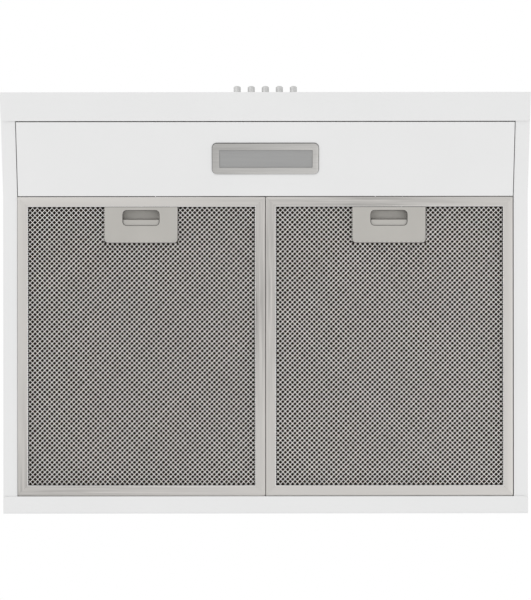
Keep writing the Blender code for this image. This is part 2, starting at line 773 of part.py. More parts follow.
def make_motor():
    centre = Matrix.Translation((FAN_X, FAN_Y, 0))
    low, high = MOTOR_Z
    profile = [
        (0, high),
        (MOTOR_RADIUS - 0.006, high),
        (MOTOR_RADIUS, high - 0.005),
        (MOTOR_RADIUS, low + 0.006),
        (MOTOR_RADIUS - 0.008, low),
        (BORE_RADIUS, low),
        (BORE_RADIUS, -0.013),
        (0, -0.013),
    ]
    turned("motor", profile, "galvanised", centre, segments=36)
    plate = [circle((0, 0), 0.056, 36), circle((0, 0), 0.012, 16)]
    flat_shape("motor_plate", plate, high + GAP, high + 0.0017, "galvanised", centre)
    for i in range(3):
        angle = math.radians(30 + 120 * i)
        place = centre @ Matrix.Translation((0.048 * math.cos(angle), 0.048 * math.sin(angle), 0))
        top = COVER_Z[0] - GAP
        bottom = high + 0.002
        grommet = [(0, top), (0.006, top), (0.0052, (top + bottom) / 2), (0.006, bottom), (0, bottom)]
        turned(f"motor_grommet_{i + 1}", grommet, "rubber", place, segments=16)


def make_capacitor():
    centre = Vector((0.090, 0.025, -0.060))
    along_y = Matrix.Translation(centre) @ Matrix.Rotation(math.radians(90), 4, "X")
    half = 0.025
    radius = 0.0155
    profile = [(0, half), (radius - 0.0015, half), (radius, half - 0.0015), (radius, -half), (0, -half)]
    turned("motor_capacitor", profile, "white_plastic", along_y, segments=24)
    strap = [circle((0, 0), radius + 0.0016, 24), circle((0, 0), radius + 0.0004, 24)]
    clip = flat_shape("capacitor_clip", strap, -0.006, 0.006, "galvanised", along_y)
    tab_low = (FAN_X + SPIRAL_RADII[1] + GAP, centre.y - 0.0055, centre.z - 0.012)
    tab_high = (centre.x - radius - 0.0012, centre.y + 0.0055, centre.z + 0.012)
    join(clip, boxes("clip_tab", [(tab_low, tab_high)], None))


# Outlet


def make_collar():
    outer = COLLAR_RADIUS
    inner = COLLAR_RADIUS - COLLAR_WALL
    profile = [
        (inner, COLLAR_HEIGHT),
        (outer - 0.0008, COLLAR_HEIGHT),
        (outer, COLLAR_HEIGHT - 0.003),
        (outer, -0.0016),
        (outer + 0.006, -0.0016),
        (outer + 0.006, -0.0036),
        (inner, -0.0036),
        (inner, DAMPER_PIN_Z - 0.0035),
        (inner - 0.003, DAMPER_PIN_Z - 0.0035),
        (inner - 0.003, DAMPER_PIN_Z - 0.0020),
        (inner, DAMPER_PIN_Z - 0.0020),
    ]
    place = Matrix.Translation((0, OUTLET_Y, 0))
    collar = turned("outlet_collar", profile, "black_plastic", place, segments=48)
    along_x = Matrix.Translation((0, OUTLET_Y, DAMPER_PIN_Z)) @ Matrix.Rotation(math.pi / 2, 4, "Y")
    cut(collar, cylinders("pin_holes", [along_x], DAMPER_PIN_RADIUS + 0.0006, 0.140, None, 16))
    cylinders("damper_pin", [along_x], DAMPER_PIN_RADIUS, 2 * (outer - 0.0008), "steel", 16)


def make_flap(name, side, knuckles):
    """A half disc beside the pin, with two knuckles on it. side is -1 in front of the pin, 1 behind."""
    hinge = Matrix.Translation((0, OUTLET_Y, DAMPER_PIN_Z))
    start = 0.0042
    edge = math.degrees(math.asin(start / FLAP_RADIUS))
    outline = arc((0, 0), FLAP_RADIUS, side * edge, side * (180 - edge), 24)
    flap = flat_shape(name, [outline], -0.0015, -0.0005, "galvanised", hinge)
    for i, x in enumerate(knuckles):
        turn = Matrix.Translation((x, 0, 0)) @ Matrix.Rotation(math.pi / 2, 4, "Y")
        tube = [circle((0, 0), 0.0036, 16), circle((0, 0), DAMPER_PIN_RADIUS + 0.0006, 16)]
        knuckle = flat_shape(f"{name}_knuckle_{i}", tube, -0.006, 0.006, None, hinge @ turn)
        low = (x - 0.0058, min(side * 0.0029, side * 0.006), -0.0014)
        high = (x + 0.0058, max(side * 0.0029, side * 0.006), -0.0006)
        arm = boxes(f"{name}_arm_{i}", [(low, high)], None, hinge)
        join(flap, knuckle, arm)


# Electrics


def make_terminal_box():
    x, y = TERMINAL_BOX_LOW
    size = TERMINAL_BOX_SIZE
    middle = (x + size / 2, y + size / 2)
    top = TERMINAL_BOX_TOP_Z
    upside_down = Matrix.Translation((middle[0], middle[1], top)) @ Matrix.Rotation(math.pi, 4, "X")
    outline = rounded_box((0, 0), (size, size), [0.003] * 4)
    box = tray("terminal_box", outline, TERMINAL_BOX_HEIGHT, 0.0018, "black_plastic", upside_down)
    gland_outline = circle(GLAND_XY, GROMMET_RADIUS + 0.0004, 24)
    gland = flat_shape("gland_hole", [gland_outline], top - 0.005, top + 0.005, None)
    front_hole = Matrix.Translation((middle[0], y, -0.026)) @ Matrix.Rotation(math.pi / 2, 4, "X")
    left_hole = Matrix.Translation((x, y + 0.025, -0.026)) @ Matrix.Rotation(math.pi / 2, 4, "Y")
    cut(box, gland, cylinders("lead_holes", [front_hole, left_hole], LEAD_RADIUS + 0.0006, 0.008, None, 16))
    bottom = top - TERMINAL_BOX_HEIGHT
    flat_shape(
        "terminal_box_cover",
        [rounded_box(middle, (size, size), [0.003] * 4), circle(middle, 0.0022, 12)],
        bottom - 0.0023,
        bottom - GAP,
        "black_plastic",
    )
    screw = [(0, -0.030), (0.0018, -0.030), (0.0018, bottom - 0.0026), (0.0035, bottom - 0.0026)]
    screw += [(0.0028, bottom - 0.0045), (0, bottom - 0.0045)]
    turned("terminal_cover_screw", screw, "steel", Matrix.Translation((*middle, 0)), segments=12)
    grommet = [
        (0.0045, 0),
        (GROMMET_RADIUS, 0),
        (GROMMET_RADIUS, -0.0063),
        (0.013, -0.0063),
        (0.013, -0.0085),
        (0.0045, -0.0085),
    ]
    turned("cable_grommet", grommet, "rubber", Matrix.Translation((*GLAND_XY, 0)), segments=24)


def make_terminal_block():
    """The block that the incoming cable's cores are screwed into, with a well over each screw."""
    x, y = GLAND_XY
    low = (x - 0.024, y - 0.032, -0.020)
    high = (x + 0.024, y - 0.018, TERMINAL_BOX_TOP_Z - 0.0022)
    block = boxes("terminal_block", [(low, high)], "white_plastic")
    down = [Matrix.Translation((x - 0.020 + 0.010 * i, y - 0.025, -0.019)) for i in range(5)]
    cut(block, cylinders("terminal_wells", down, 0.0026, 0.008, None, 10))


def make_leads():
    lead(
        "lead_switch",
        [
            (0.0445, -0.291, -0.122),
            (0.060, -0.291, -0.121),
            (0.090, -0.290, -0.116),
            (0.150, -0.280, -0.108),
            (0.212, -0.245, -0.096),
            (0.250, -0.180, -0.076),
            (0.262, -0.090, -0.056),
            (0.256, 0.000, -0.041),
            (0.226, 0.052, -0.030),
            (0.200, 0.074, -0.0262),
            (0.1975, 0.088, -0.026),
            (0.1975, 0.096, -0.026),
        ],
    )
    lead(
        "lead_motor",
        [
            (0.174, 0.110, -0.026),
            (0.163, 0.110, -0.026),
            (0.140, 0.107, -0.0275),
            (0.113, 0.082, -0.030),
            (0.100, 0.040, -0.030),
            (0.092, 0.000, -0.0285),
            (0.080, -0.024, -0.0268),
            (0.065, -0.029, -0.026),
            (0.040, -0.030, -0.0255),
            (-0.0043, -0.030, -0.025),
        ],
    )
    lead(
        "lead_driver",
        [
            (-0.0445, -0.291, -0.122),
            (-0.056, -0.291, -0.1215),
            (-0.080, -0.289, -0.119),
            (-0.105, -0.281, -0.117),
            (-0.135, -0.270, -0.1195),
            (-0.150, -0.2615, -0.1245),
            (-0.150, -0.2593, -0.1248),
        ],
    )
    lead(
        "lead_lamp",
        [
            (-0.1293, -0.238, -0.123),
            (-0.118, -0.238, -0.1222),
            (-0.098, -0.2385, -0.1185),
            (-0.078, -0.239, -0.1213),
            (-0.066, -0.2395, -0.1252),
            (-0.0596, -0.2395, -0.1262),
        ],
    )


# Grease filters


def make_filter(side_name, centre_x):
    left = centre_x - FILTER_WIDTH / 2
    right = centre_x + FILTER_WIDTH / 2
    front = FILTER_FRONT_Y
    rear = FILTER_REAR_Y
    low = FILTER_BOTTOM_Z
    high = FILTER_TOP_Z
    spans = {
        "window": (
            (left + FRAME_BAR, front + FRAME_BAR, low - 0.01),
            (right - FRAME_BAR, rear - FRAME_BAR, high + 0.01),
        ),
        "channel": (
            (left + FRAME_WEB, front + FRAME_WEB, low + FRAME_SHEET),
            (right - FRAME_WEB, rear - FRAME_WEB, high - FRAME_SHEET),
        ),
        "catch_notch": (
            (centre_x - 0.018, front - 0.01, high - 0.0014),
            (centre_x + 0.018, front + 0.004, high + 0.01),
        ),
    }
    whole = ((left, front, low), (right, rear, high))
    frame = boxes(f"filter_frame_{side_name}", [whole], "aluminium_frame")
    cut(frame, *[boxes(f"{name}_{side_name}", [span], None) for name, span in spans.items()])
    lug_z = -BACK_HEIGHT + SHEET + GAP
    lugs = [
        (
            (centre_x + s * LUG_X - LUG_SIZE[0] / 2, rear - 0.002, lug_z),
            (centre_x + s * LUG_X + LUG_SIZE[0] / 2, rear + LUG_SIZE[1] - 0.001, lug_z + LUG_SIZE[2]),
        )
        for s in (-1, 1)
    ]
    join(frame, boxes(f"lugs_{side_name}", lugs, None))
    edge = FRAME_WEB + GAP
    bite = POCKET_SIZE[0] / 2 + CUP_WALL + GAP
    bite_rear = front + POCKET_FRONT + CUP_LENGTH + CUP_WALL + GAP
    outline = [
        (left + edge, front + edge),
        (centre_x - bite, front + edge),
        (centre_x - bite, bite_rear),
        (centre_x + bite, bite_rear),
        (centre_x + bite, front + edge),
        (right - edge, front + edge),
        (right - edge, rear - edge),
        (left + edge, rear - edge),
    ]
    bottom = low + FRAME_SHEET + GAP
    top = high - FRAME_SHEET - GAP
    flat_shape(f"filter_mesh_{side_name}", [outline], bottom, top, "aluminium_mesh")


def make_handle(side_name, centre_x):
    """The plate with its finger pocket, the cup round the pocket and two hooks that guide the latch."""
    low = FILTER_BOTTOM_Z
    plate_front = FILTER_FRONT_Y + FRAME_BAR + GAP
    plate_centre = (centre_x, plate_front + HANDLE_SIZE[1] / 2)
    pocket_front = FILTER_FRONT_Y + POCKET_FRONT
    pocket_centre = (centre_x, pocket_front + POCKET_SIZE[1] / 2)
    outlines = [
        rounded_box(plate_centre, HANDLE_SIZE, [0.0008, 0.0008, HANDLE_CORNER, HANDLE_CORNER]),
        rounded_box(pocket_centre, POCKET_SIZE, [POCKET_CORNER] * 4),
    ]
    handle = flat_shape(f"filter_handle_{side_name}", outlines, low, low + SHEET, "grey_plastic")
    half = POCKET_SIZE[0] / 2
    top = FILTER_TOP_Z - GAP
    cup_rear = pocket_front + CUP_LENGTH
    cup = [
        [
            (centre_x - half - CUP_WALL, pocket_front - CUP_WALL),
            (centre_x + half + CUP_WALL, pocket_front - CUP_WALL),
            (centre_x + half + CUP_WALL, cup_rear + CUP_WALL),
            (centre_x - half - CUP_WALL, cup_rear + CUP_WALL),
        ],
        [
            (centre_x - half, pocket_front),
            (centre_x + half, pocket_front),
            (centre_x + half, cup_rear),
            (centre_x - half, cup_rear),
        ],
    ]
    walls = flat_shape(f"cup_{side_name}", cup, low + SHEET / 2, top, None)
    hooks = []
    for s in (-1, 1):
        post = sorted((centre_x + s * (half + 0.0001), centre_x + s * (half + CUP_WALL - 0.0001)))
        lip_reach = LATCH_HALF_WIDTH - 0.0013
        lip = sorted((centre_x + s * lip_reach, centre_x + s * (half + CUP_WALL - 0.0002)))
        start = pocket_front + 0.003
        end = cup_rear - 0.006
        hooks.append(((post[0], start, top - 0.001), (post[1], end, top + 0.0028)))
        hooks.append(((lip[0], start + 0.0001, top + 0.0019), (lip[1], end - 0.0001, top + 0.0029)))
    join(handle, walls)
    join(handle, *[boxes(f"hook_{side_name}_{i}", [span], None) for i, span in enumerate(hooks)])


def make_latch(side_name, centre_x):
    """The slider is a tongue over the front bar, a web that the finger pushes, and a lip in the pocket.

    The catch is a spring clip on the light panel's rear flange, and reaches under the tongue.
    """
    plate = FILTER_TOP_Z + GAP
    lip = FILTER_BOTTOM_Z + SHEET + GAP
    front = FILTER_FRONT_Y
    path = [
        (front - GAP, plate),
        (front + LATCH_LIP_FRONT, plate),
        (front + LATCH_LIP_FRONT, lip),
        (front + LATCH_LIP_REAR, lip),
    ]
    path = rounded(path, [0, 0.0012, 0.0012, 0])
    folded_sheet(f"latch_slider_{side_name}", path, LATCH_HALF_WIDTH, SHEET, "grey_plastic", centre_x)
    catch_top = FILTER_TOP_Z - 0.0002
    leg_y = BREAK_Y - 0.0076
    foot_z = -BACK_HEIGHT + 0.0004
    reach = 0.010
    path = [
        (front + CATCH_REACH, catch_top),
        (leg_y, catch_top),
        (leg_y, foot_z),
        (leg_y - reach, foot_z - reach * UNDERSIDE_SLOPE),
    ]
    path = rounded(path, [0, 0.0012, 0, 0])
    folded_sheet(f"filter_catch_{side_name}", path, 0.015, 0.0006, "steel", centre_x)


def make_latch_spring(side_name, centre_x):
    start = FILTER_FRONT_Y + LATCH_LIP_FRONT + SHEET + 0.0004
    end = FILTER_FRONT_Y + POCKET_FRONT + CUP_LENGTH - 0.0004
    z = (FILTER_TOP_Z + FILTER_BOTTOM_Z) / 2 + 0.0013
    turns = 5
    sides = 8
    wire = 0.0003
    curve = bpy.data.curves.new(f"latch_spring_{side_name}", "CURVE")
    curve.dimensions = "3D"
    curve.bevel_depth = wire
    curve.bevel_resolution = 0
    curve.use_fill_caps = True
    spline = curve.splines.new("POLY")
    count = turns * sides
    spline.points.add(count)
    for i, point in enumerate(spline.points):
        angle = 2 * math.pi * i / sides
        y = start + wire + (end - start - 2 * wire) * i / count
        point.co = (centre_x + 0.0019 * math.cos(angle), y, z + 0.0019 * math.sin(angle), 1)
    add_object(f"latch_spring_{side_name}", curve, "steel")


clear_scene()
HOOD = new_collection("under_cabinet_range_hood")
HELPERS = new_collection("cutters")
HELPERS.hide_render = True

make_top_and_front_panel()
make_side_panel("side_panel_left", -1)
make_side_panel("side_panel_right", 1)
make_back_panel()
panel_frame = light_panel_frame()
make_light_panel(panel_frame)
make_filter_centre_rail()
make_lamp(panel_frame)
make_buttons()
make_switch()
make_fan_housing()
make_inlet_guard()
make_fan_wheel()
make_motor()
make_capacitor()
make_collar()
make_flap("damper_flap_front", -1, (-0.040, 0.020))
make_flap("damper_flap_rear", 1, (-0.020, 0.040))
make_terminal_box()
make_terminal_block()
make_leads()
for filter_side, filter_x in (("left", -FILTER_CENTRE_X), ("right", FILTER_CENTRE_X)):
    make_filter(filter_side, filter_x)
    make_handle(filter_side, filter_x)
    make_latch(filter_side, filter_x)
    make_latch_spring(filter_side, filter_x)
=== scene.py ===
"""The looks of the under cabinet range hood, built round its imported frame.

Metres, +Z up, -Y the front. Pieces that replace a CAD node take their place from that node's box.
"""

import json
import math
import random

import bmesh
import bpy
from mathutils import Matrix, Vector

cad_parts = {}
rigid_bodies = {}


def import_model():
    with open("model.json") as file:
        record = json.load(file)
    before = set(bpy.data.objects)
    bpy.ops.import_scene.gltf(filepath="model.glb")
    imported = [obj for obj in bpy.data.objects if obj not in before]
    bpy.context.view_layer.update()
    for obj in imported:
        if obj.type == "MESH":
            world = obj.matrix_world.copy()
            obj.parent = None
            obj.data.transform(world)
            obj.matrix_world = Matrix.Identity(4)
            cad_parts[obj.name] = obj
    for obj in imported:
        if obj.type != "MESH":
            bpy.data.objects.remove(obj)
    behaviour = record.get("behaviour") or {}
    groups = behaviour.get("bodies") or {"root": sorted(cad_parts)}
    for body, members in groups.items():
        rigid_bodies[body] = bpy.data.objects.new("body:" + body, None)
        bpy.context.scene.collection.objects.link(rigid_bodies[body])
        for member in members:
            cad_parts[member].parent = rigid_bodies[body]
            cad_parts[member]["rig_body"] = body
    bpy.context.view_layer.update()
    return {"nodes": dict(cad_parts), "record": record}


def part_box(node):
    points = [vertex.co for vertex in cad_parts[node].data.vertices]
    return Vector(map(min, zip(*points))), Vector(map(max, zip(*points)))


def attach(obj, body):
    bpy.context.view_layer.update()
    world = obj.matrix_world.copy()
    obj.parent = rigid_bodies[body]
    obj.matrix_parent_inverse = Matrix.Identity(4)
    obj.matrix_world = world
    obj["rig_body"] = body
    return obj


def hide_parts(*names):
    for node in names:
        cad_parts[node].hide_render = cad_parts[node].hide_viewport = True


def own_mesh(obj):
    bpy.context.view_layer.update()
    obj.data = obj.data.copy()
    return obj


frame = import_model()

# Camera: straight below the filters, looking up, with the hood's front at the top of the picture
CAMERA_PLACE = (0.0, -0.0785, -2.225)
CAMERA_ROLL = math.radians(0.05)
FOCAL_LENGTH = 110.6
SENSOR = 36.0
FLOOR_Z = -4.5
FLOOR_SIZE = 30.0

# Area lights: place, what they point at, size and watts
LIGHTS = {
    "below_left": ((-1.6, -1.5, -2.0), (0, -0.05, -0.1), 2.0, 11.15),
    "below_right": ((1.8, 0.6, -1.9), (0, -0.05, -0.1), 2.0, 6.5),
    "above_front": ((-1.4, -2.2, 1.8), (0, 0, -0.05), 1.4, 2),
}

# Rounded edges, in metres, and the angles that decide what is rounded and shaded
PANEL_EDGE = 0.00015
HANDLE_EDGE = 0.00018
FLAT_DEG = 0.6
BEVEL_DEG = 35
SHADE_DEG = 32
WELD = 2e-6

# Filter frames: BAR is a channel's width, and the reaches are each side's small differences from it
BAR = 0.0113
FRAME_SHEET = 0.0010
LUG_REACH = 0.0080
MITRE_GAP = 0.00010
REAR_TONGUE = {"left": 0.0018, "right": 0.0008}
SIDE_REACH = {"left": (0.0005, 0.0002), "right": (0.0002, -0.0002)}
FRONT_STEP = {"left": 0.0002, "right": 0.0001}
CATCH_NOTCH_HALF = 0.018
CATCH_NOTCH_DEPTH = 0.0014
CATCH_NOTCH_REACH = 0.0045
# HEM and HEM_HEIGHT bound the rolled edge that gets the painted highlight.
HEM = 0.0008
HEM_HEIGHT = 0.0012
# The width of the dark strip of painted shadow round the mesh pack.
SHADOW_STRIP_WIDTH = 0.0005

# Filter mesh: the face and back layers are woven strands, and layers painted dark as shade lie between them
STRAND_PITCH = 0.003907
STRAND_WIDTH = 0.00063
STRAND_HEIGHT = 0.00045
WEAVE = 0.00010
WOVEN_DEG = 45
WOVEN_SCATTER = 0.03
BACK_SCATTER = 0.05
MESH_EDGE = 0.0061
MESH_UP = FRAME_SHEET + 0.0008
MESH_DOWN = FRAME_SHEET + 0.0009
SECOND_UP = 0.0014
THIRD_UP = 0.0026
CORE_UP = 0.0038
CORE_STEP = 0.0042
CORE_THICKNESS = 0.0012
CORE_SEED = {"left": 4, "right": 5}
CUP_MARGIN = 0.0016
CUP_OVERLAP = 0.0110
PLATE_MARGIN = 0.0005

# Lamp
PANEL_TILT = math.atan2(0.0246, 0.1147)
LENS_MIDDLE = -0.0003
BEZEL_SIZE = (0.1205, 0.0350)
BEZEL_RADIUS = 0.0052
BEZEL_SHIFT = (0.0, 0.00005)
BEZEL_HOLE = (0.10605, 0.0200)
BEZEL_HOLE_RADIUS = 0.0010
BEZEL_HOLE_SHIFT = (0.00055, 0.0002)
BEZEL_STEP = 0.0011
BEZEL_EDGE = 0.0003
BEZEL_LIP = 0.0009
BEZEL_NECK = 0.0055
LENS_SIZE = (0.1067, 0.0206)
LENS_RADIUS = 0.0009
# The next two size and shift the dark ring of painted shadow round the bezel.
SHADOW_RING_REACH = 0.0004
SHADOW_RING_SHIFT = (0.0, -0.00025)

# Buttons
BUTTON_RADIUS = 0.0041
BUTTON_REACH = 0.010
BUTTON_TRIM = 0.0006
BUTTON_FLANGE_RADIUS = 0.0056
BUTTON_STEM_RADIUS = 0.0021
BUTTON_STEM_END = -0.017

# Panels: LIP_RADIUS is the CAD's bend along the front lip and LIP_TIGHT the visible one
LIP_RADIUS = 0.0025
LIP_TIGHT = 0.0012
LIGHT_PANEL_REAR = -0.2015
LIGHT_PANEL_FRONT = -0.2785
LIGHT_PANEL_STRETCH = 0.00105
LIGHT_PANEL_SHRINK = 0.0002
# The next five size the dark strip of painted shadow over the slot in front of the filters.
GAP_SHADOW_DEPTH = 0.0038
GAP_SHADOW_HEIGHT = 0.0020
GAP_SHADOW_CLEARANCE = 0.0003
GAP_SHADOW_CHAMFER = 0.0004
GAP_SHADOW_ROUND = 0.0003
PANEL_CLEARANCE = 0.002
CATCH_CLEARANCE = 0.001

# Handles: half widths are the CAD's and the visible one
HANDLE_SHIFT = -0.0005
PLATE_HALF = (0.04185, 0.0417)
PLATE_CORNER = 0.0045
POCKET_HALF = (0.0215, 0.02115)
POCKET_FRONT = 0.0037
POCKET_LENGTH = 0.0179
POCKET_RADIUS = 0.0048
# The next two size the thin strip of painted shadow inside the pocket's edge.
POCKET_SHADOW_WIDTHS = (0.0013, 0.0009)
POCKET_SHADOW_HEIGHTS = (0.0002, 0.0011)
PAD_FROM_REAR = 0.0100
PAD_CLEARANCE = 0.0012
PAD_UP = 0.0030

# Latch springs
SPRING_WIRE = 0.0006
SPRING_TURNS = 9
SPRING_STEPS = 14
SPRING_SIDES = 8


# Materials


class Finish:
    """A Principled material being put together. Its coordinates are the object's own, in metres."""

    def __init__(self, name, roughness=0.5, metallic=0.0, **inputs):
        self.material = bpy.data.materials.new(name)
        self.material.use_nodes = True
        self.tree = self.material.node_tree
        self.shader = self.tree.nodes["Principled BSDF"]
        self.shader.inputs["Roughness"].default_value = roughness
        self.shader.inputs["Metallic"].default_value = metallic
        for key, value in inputs.items():
            self.shader.inputs[key.replace("_", " ").title().replace("Ior", "IOR")].default_value = value
        self.coordinates = self.tree.nodes.new("ShaderNodeTexCoord").outputs["Object"]

    def node(self, kind, links=(), **values):
        """A node, with (input name, socket) links and settings, where in_NAME is an input's value."""
        made = self.tree.nodes.new("ShaderNode" + kind)
        for key, value in values.items():
            if key.startswith("in_"):
                made.inputs[key[3:].replace("_", " ").title()].default_value = value
            else:
                setattr(made, key, value)
        for name, socket in links:
            self.tree.links.new(socket, made.inputs[name])
        return made

    def stretched(self, scale, turn=0.0):
        """Coordinates scaled along X, Y and Z, after a turn about Z."""
        turned = self.node("Mapping", [("Vector", self.coordinates)])
        turned.inputs["Rotation"].default_value = (0, 0, turn)
        made = self.node("Mapping", [("Vector", turned.outputs["Vector"])])
        made.inputs["Scale"].default_value = scale
        return made.outputs["Vector"]

    def noise(self, scale, detail=3.0, roughness=0.5, vector=None):
        links = [("Vector", vector or self.coordinates)]
        made = self.node("TexNoise", links, in_scale=scale, in_detail=detail, in_roughness=roughness)
        return made.outputs["Fac"]

    def spots(self, scale):
        links = [("Vector", self.coordinates)]
        made = self.node("TexVoronoi", links, feature="SMOOTH_F1", in_scale=scale)
        return made.outputs["Distance"]

    def maths(self, operation, first, second):
        """A Math node on two sockets or numbers."""
        made = self.node("Math", operation=operation)
        for slot, value in zip(made.inputs, (first, second)):
            if isinstance(value, (int, float)):
                slot.default_value = value
            else:
                self.tree.links.new(value, slot)
        return made.outputs["Value"]

    def mixed(self, first, second, share):
        """The two sockets blended, share of the second."""
        scaled = self.maths("MULTIPLY", second, share)
        rest = self.maths("MULTIPLY", first, 1 - share)
        return self.maths("ADD", scaled, rest)

    def ramp(self, factor, *stops):
        """A colour ramp through (position, colour) stops."""
        made = self.node("ValToRGB", [("Fac", factor)])
        elements = made.color_ramp.elements
        while len(elements) < len(stops):
            elements.new(0.5)
        for element, (position, colour) in zip(elements, stops):
            element.position = position
            element.color = (*colour, 1)
        return made.outputs["Color"]

    def ranged(self, factor, low, high, start=0.0, end=1.0):
        made = self.node("MapRange", [("Value", factor)])
        made.inputs["From Min"].default_value = start
        made.inputs["From Max"].default_value = end
        made.inputs["To Min"].default_value = low
        made.inputs["To Max"].default_value = high
        return made.outputs["Result"]

    def colour(self, socket):
        self.tree.links.new(socket, self.shader.inputs["Base Color"])

    def rough(self, socket):
        self.tree.links.new(socket, self.shader.inputs["Roughness"])

    def bump(self, height, distance, strength=1.0):
        made = self.node("Bump", [("Height", height)], in_distance=distance, in_strength=strength)
        self.tree.links.new(made.outputs["Normal"], self.shader.inputs["Normal"])


def tint(colour, factor):
    return tuple(min(1.0, channel * factor) for channel in colour)


def white_paint():
    """Powder coat: a faint orange peel and a barely uneven white."""
    made = Finish("white_powder_coat", 0.45, specular_ior_level=0.3)
    peel = made.noise(620, 2)
    cloud = made.noise(9, 2)
    made.colour(made.ramp(cloud, (0.3, (0.790, 0.792, 0.791)), (0.7, (0.806, 0.807, 0.806))))
    made.rough(made.ranged(made.noise(160, 3), 0.40, 0.52))
    made.bump(made.mixed(peel, made.noise(2400, 1), 0.25), 0.00002, 0.5)
    return made.material


def brushed_bezel():
    """Steel brushed along X, with a painted reflection: a little lighter towards its right end and a little
    darker towards its front edge.
    """
    made = Finish("brushed_bezel", 0.36, 1.0)
    fine = made.noise(1, 4, 0.6, made.stretched((14, 900, 900)))
    place = made.node("SeparateXYZ", [("Vector", made.coordinates)])
    # Painted reflection: the steel's colour is lighter towards the right and darker towards the front, as the
    # light falls on it.
    across = made.ranged(place.outputs["X"], 0.492, 0.588, -0.06, 0.06)
    tone = made.maths("ADD", across, made.ranged(place.outputs["Y"], -0.025, 0.010, -0.258, -0.222))
    streaks = made.ranged(fine, -0.05, 0.05, 0.3, 0.7)
    made.colour(made.ramp(made.maths("ADD", tone, streaks), (0.0, (0, 0, 0)), (1.0, (1.0, 0.983, 0.953))))
    made.rough(made.ranged(fine, 0.30, 0.44, 0.3, 0.7))
    made.bump(fine, 0.00001, 0.5)
    return made.material


def aluminium(name, along, base=(0.637, 0.618, 0.592)):
    """Anodised channel brushed along X or Y, with a painted reflection: darker and more streaked in a band
    across one diagonal of the hood.
    """
    made = Finish(name, 0.34, 1.0)
    stretch = (9, 430, 430) if along == "X" else (430, 9, 430)
    fine = made.noise(1, 4, 0.65, made.stretched(stretch))
    place = made.node("SeparateXYZ", [("Vector", made.coordinates)])
    # Painted reflection: a soft band across the hood's diagonal darkens the colour, and the streaks grow with
    # that painted shade.
    diagonal = made.maths("ADD", place.outputs["X"], place.outputs["Y"])
    wander = made.ranged(made.noise(6, 2), -0.02, 0.02)
    share = made.ranged(made.maths("ADD", diagonal, wander), 0.0, 1.0, -0.30, 0.15)
    painted_reflection_tones = [(0.0, 1.0), (0.22, 0.94), (0.36, 0.85), (0.47, 0.79)]
    painted_reflection_tones += [(0.57, 0.84), (0.65, 0.90), (0.77, 0.95), (1.0, 1.0)]
    tone = made.ramp(share, *[(position, (value, value, value)) for position, value in painted_reflection_tones])
    painted_shade_depth = made.maths("SUBTRACT", 1.02, tone)
    streaks = made.maths("MULTIPLY", made.ranged(fine, -1.1, 1.1, 0.3, 0.7), painted_shade_depth)
    level = made.maths("ADD", tone, streaks)
    made.colour(made.ramp(level, (0.0, (0, 0, 0)), (1.0, base)))
    made.rough(made.ranged(fine, 0.30, 0.40, 0.3, 0.7))
    made.bump(fine, 0.00001, 0.4)
    return made.material


def painted_highlight_edge():
    """The rolled edge inside each channel, with a painted highlight: a brighter, glossier aluminium."""
    made = Finish("painted_highlight_aluminium", 0.22, 1.0)
    highlight_noise = made.noise(60, 3)
    made.colour(made.ramp(highlight_noise, (0.3, (0.86, 0.85, 0.83)), (0.7, (0.95, 0.94, 0.93))))
    made.rough(made.ranged(highlight_noise, 0.18, 0.30, 0.3, 0.7))
    return made.material


def strand_metal(name, colour, metallic=1.0):
    """Foil strands: bright, with small dull patches."""
    made = Finish(name, 0.34, metallic)
    patches = made.mixed(made.noise(900, 2), made.noise(380, 2), 0.4)
    made.colour(made.ramp(patches, (0.32, tint(colour, 0.78)), (0.55, colour), (0.72, tint(colour, 1.12))))
    made.rough(made.ranged(patches, 0.28, 0.46, 0.3, 0.7))
    made.bump(made.noise(2500, 2), 0.00003, 0.5)
    return made.material


def moulded(name, colour, roughness=0.5, grain=1500, depth=0.00003):
    """Moulded plastic: an even grain and faint flow marks."""
    made = Finish(name, roughness)
    flow = made.noise(1, 2, 0.5, made.stretched((30, 12, 30)))
    made.colour(made.ramp(flow, (0.3, tint(colour, 0.965)), (0.7, tint(colour, 1.03))))
    texture = made.spots(grain)
    made.rough(made.ranged(made.noise(400, 2), roughness - 0.05, roughness + 0.07, 0.3, 0.7))
    made.bump(made.mixed(texture, made.noise(grain * 1.7, 2), 0.4), depth, 0.6)
    return made.material


def satin_chrome():
    """Turned and plated: fine rings round the button's axis, which runs along Y."""
    made = Finish("satin_chrome", 0.55, 1.0)
    rings = made.noise(1, 3, 0.6, made.stretched((40, 2600, 40)))
    made.colour(made.ramp(rings, (0.3, (0.60, 0.60, 0.595)), (0.7, (0.69, 0.69, 0.685))))
    made.rough(made.ranged(rings, 0.50, 0.60, 0.3, 0.7))
    made.bump(rings, 0.00001, 0.4)
    return made.material


def frosted_lens():
    """A frosted diffuser with fine prisms across it."""
    made = Finish("frosted_lens", 0.42, specular_ior_level=0.35)
    streaks = made.noise(1, 3, 0.6, made.stretched((14, 420, 420)))
    made.colour(made.ramp(streaks, (0.3, (0.326, 0.326, 0.324)), (0.7, (0.348, 0.348, 0.345))))
    wave = made.node("TexWave", [("Vector", made.coordinates)], in_scale=160)
    made.rough(made.ranged(made.noise(700, 2), 0.38, 0.50, 0.3, 0.7))
    made.bump(made.mixed(wave.outputs["Fac"], made.noise(1800, 2), 0.6), 0.00003, 0.5)
    return made.material


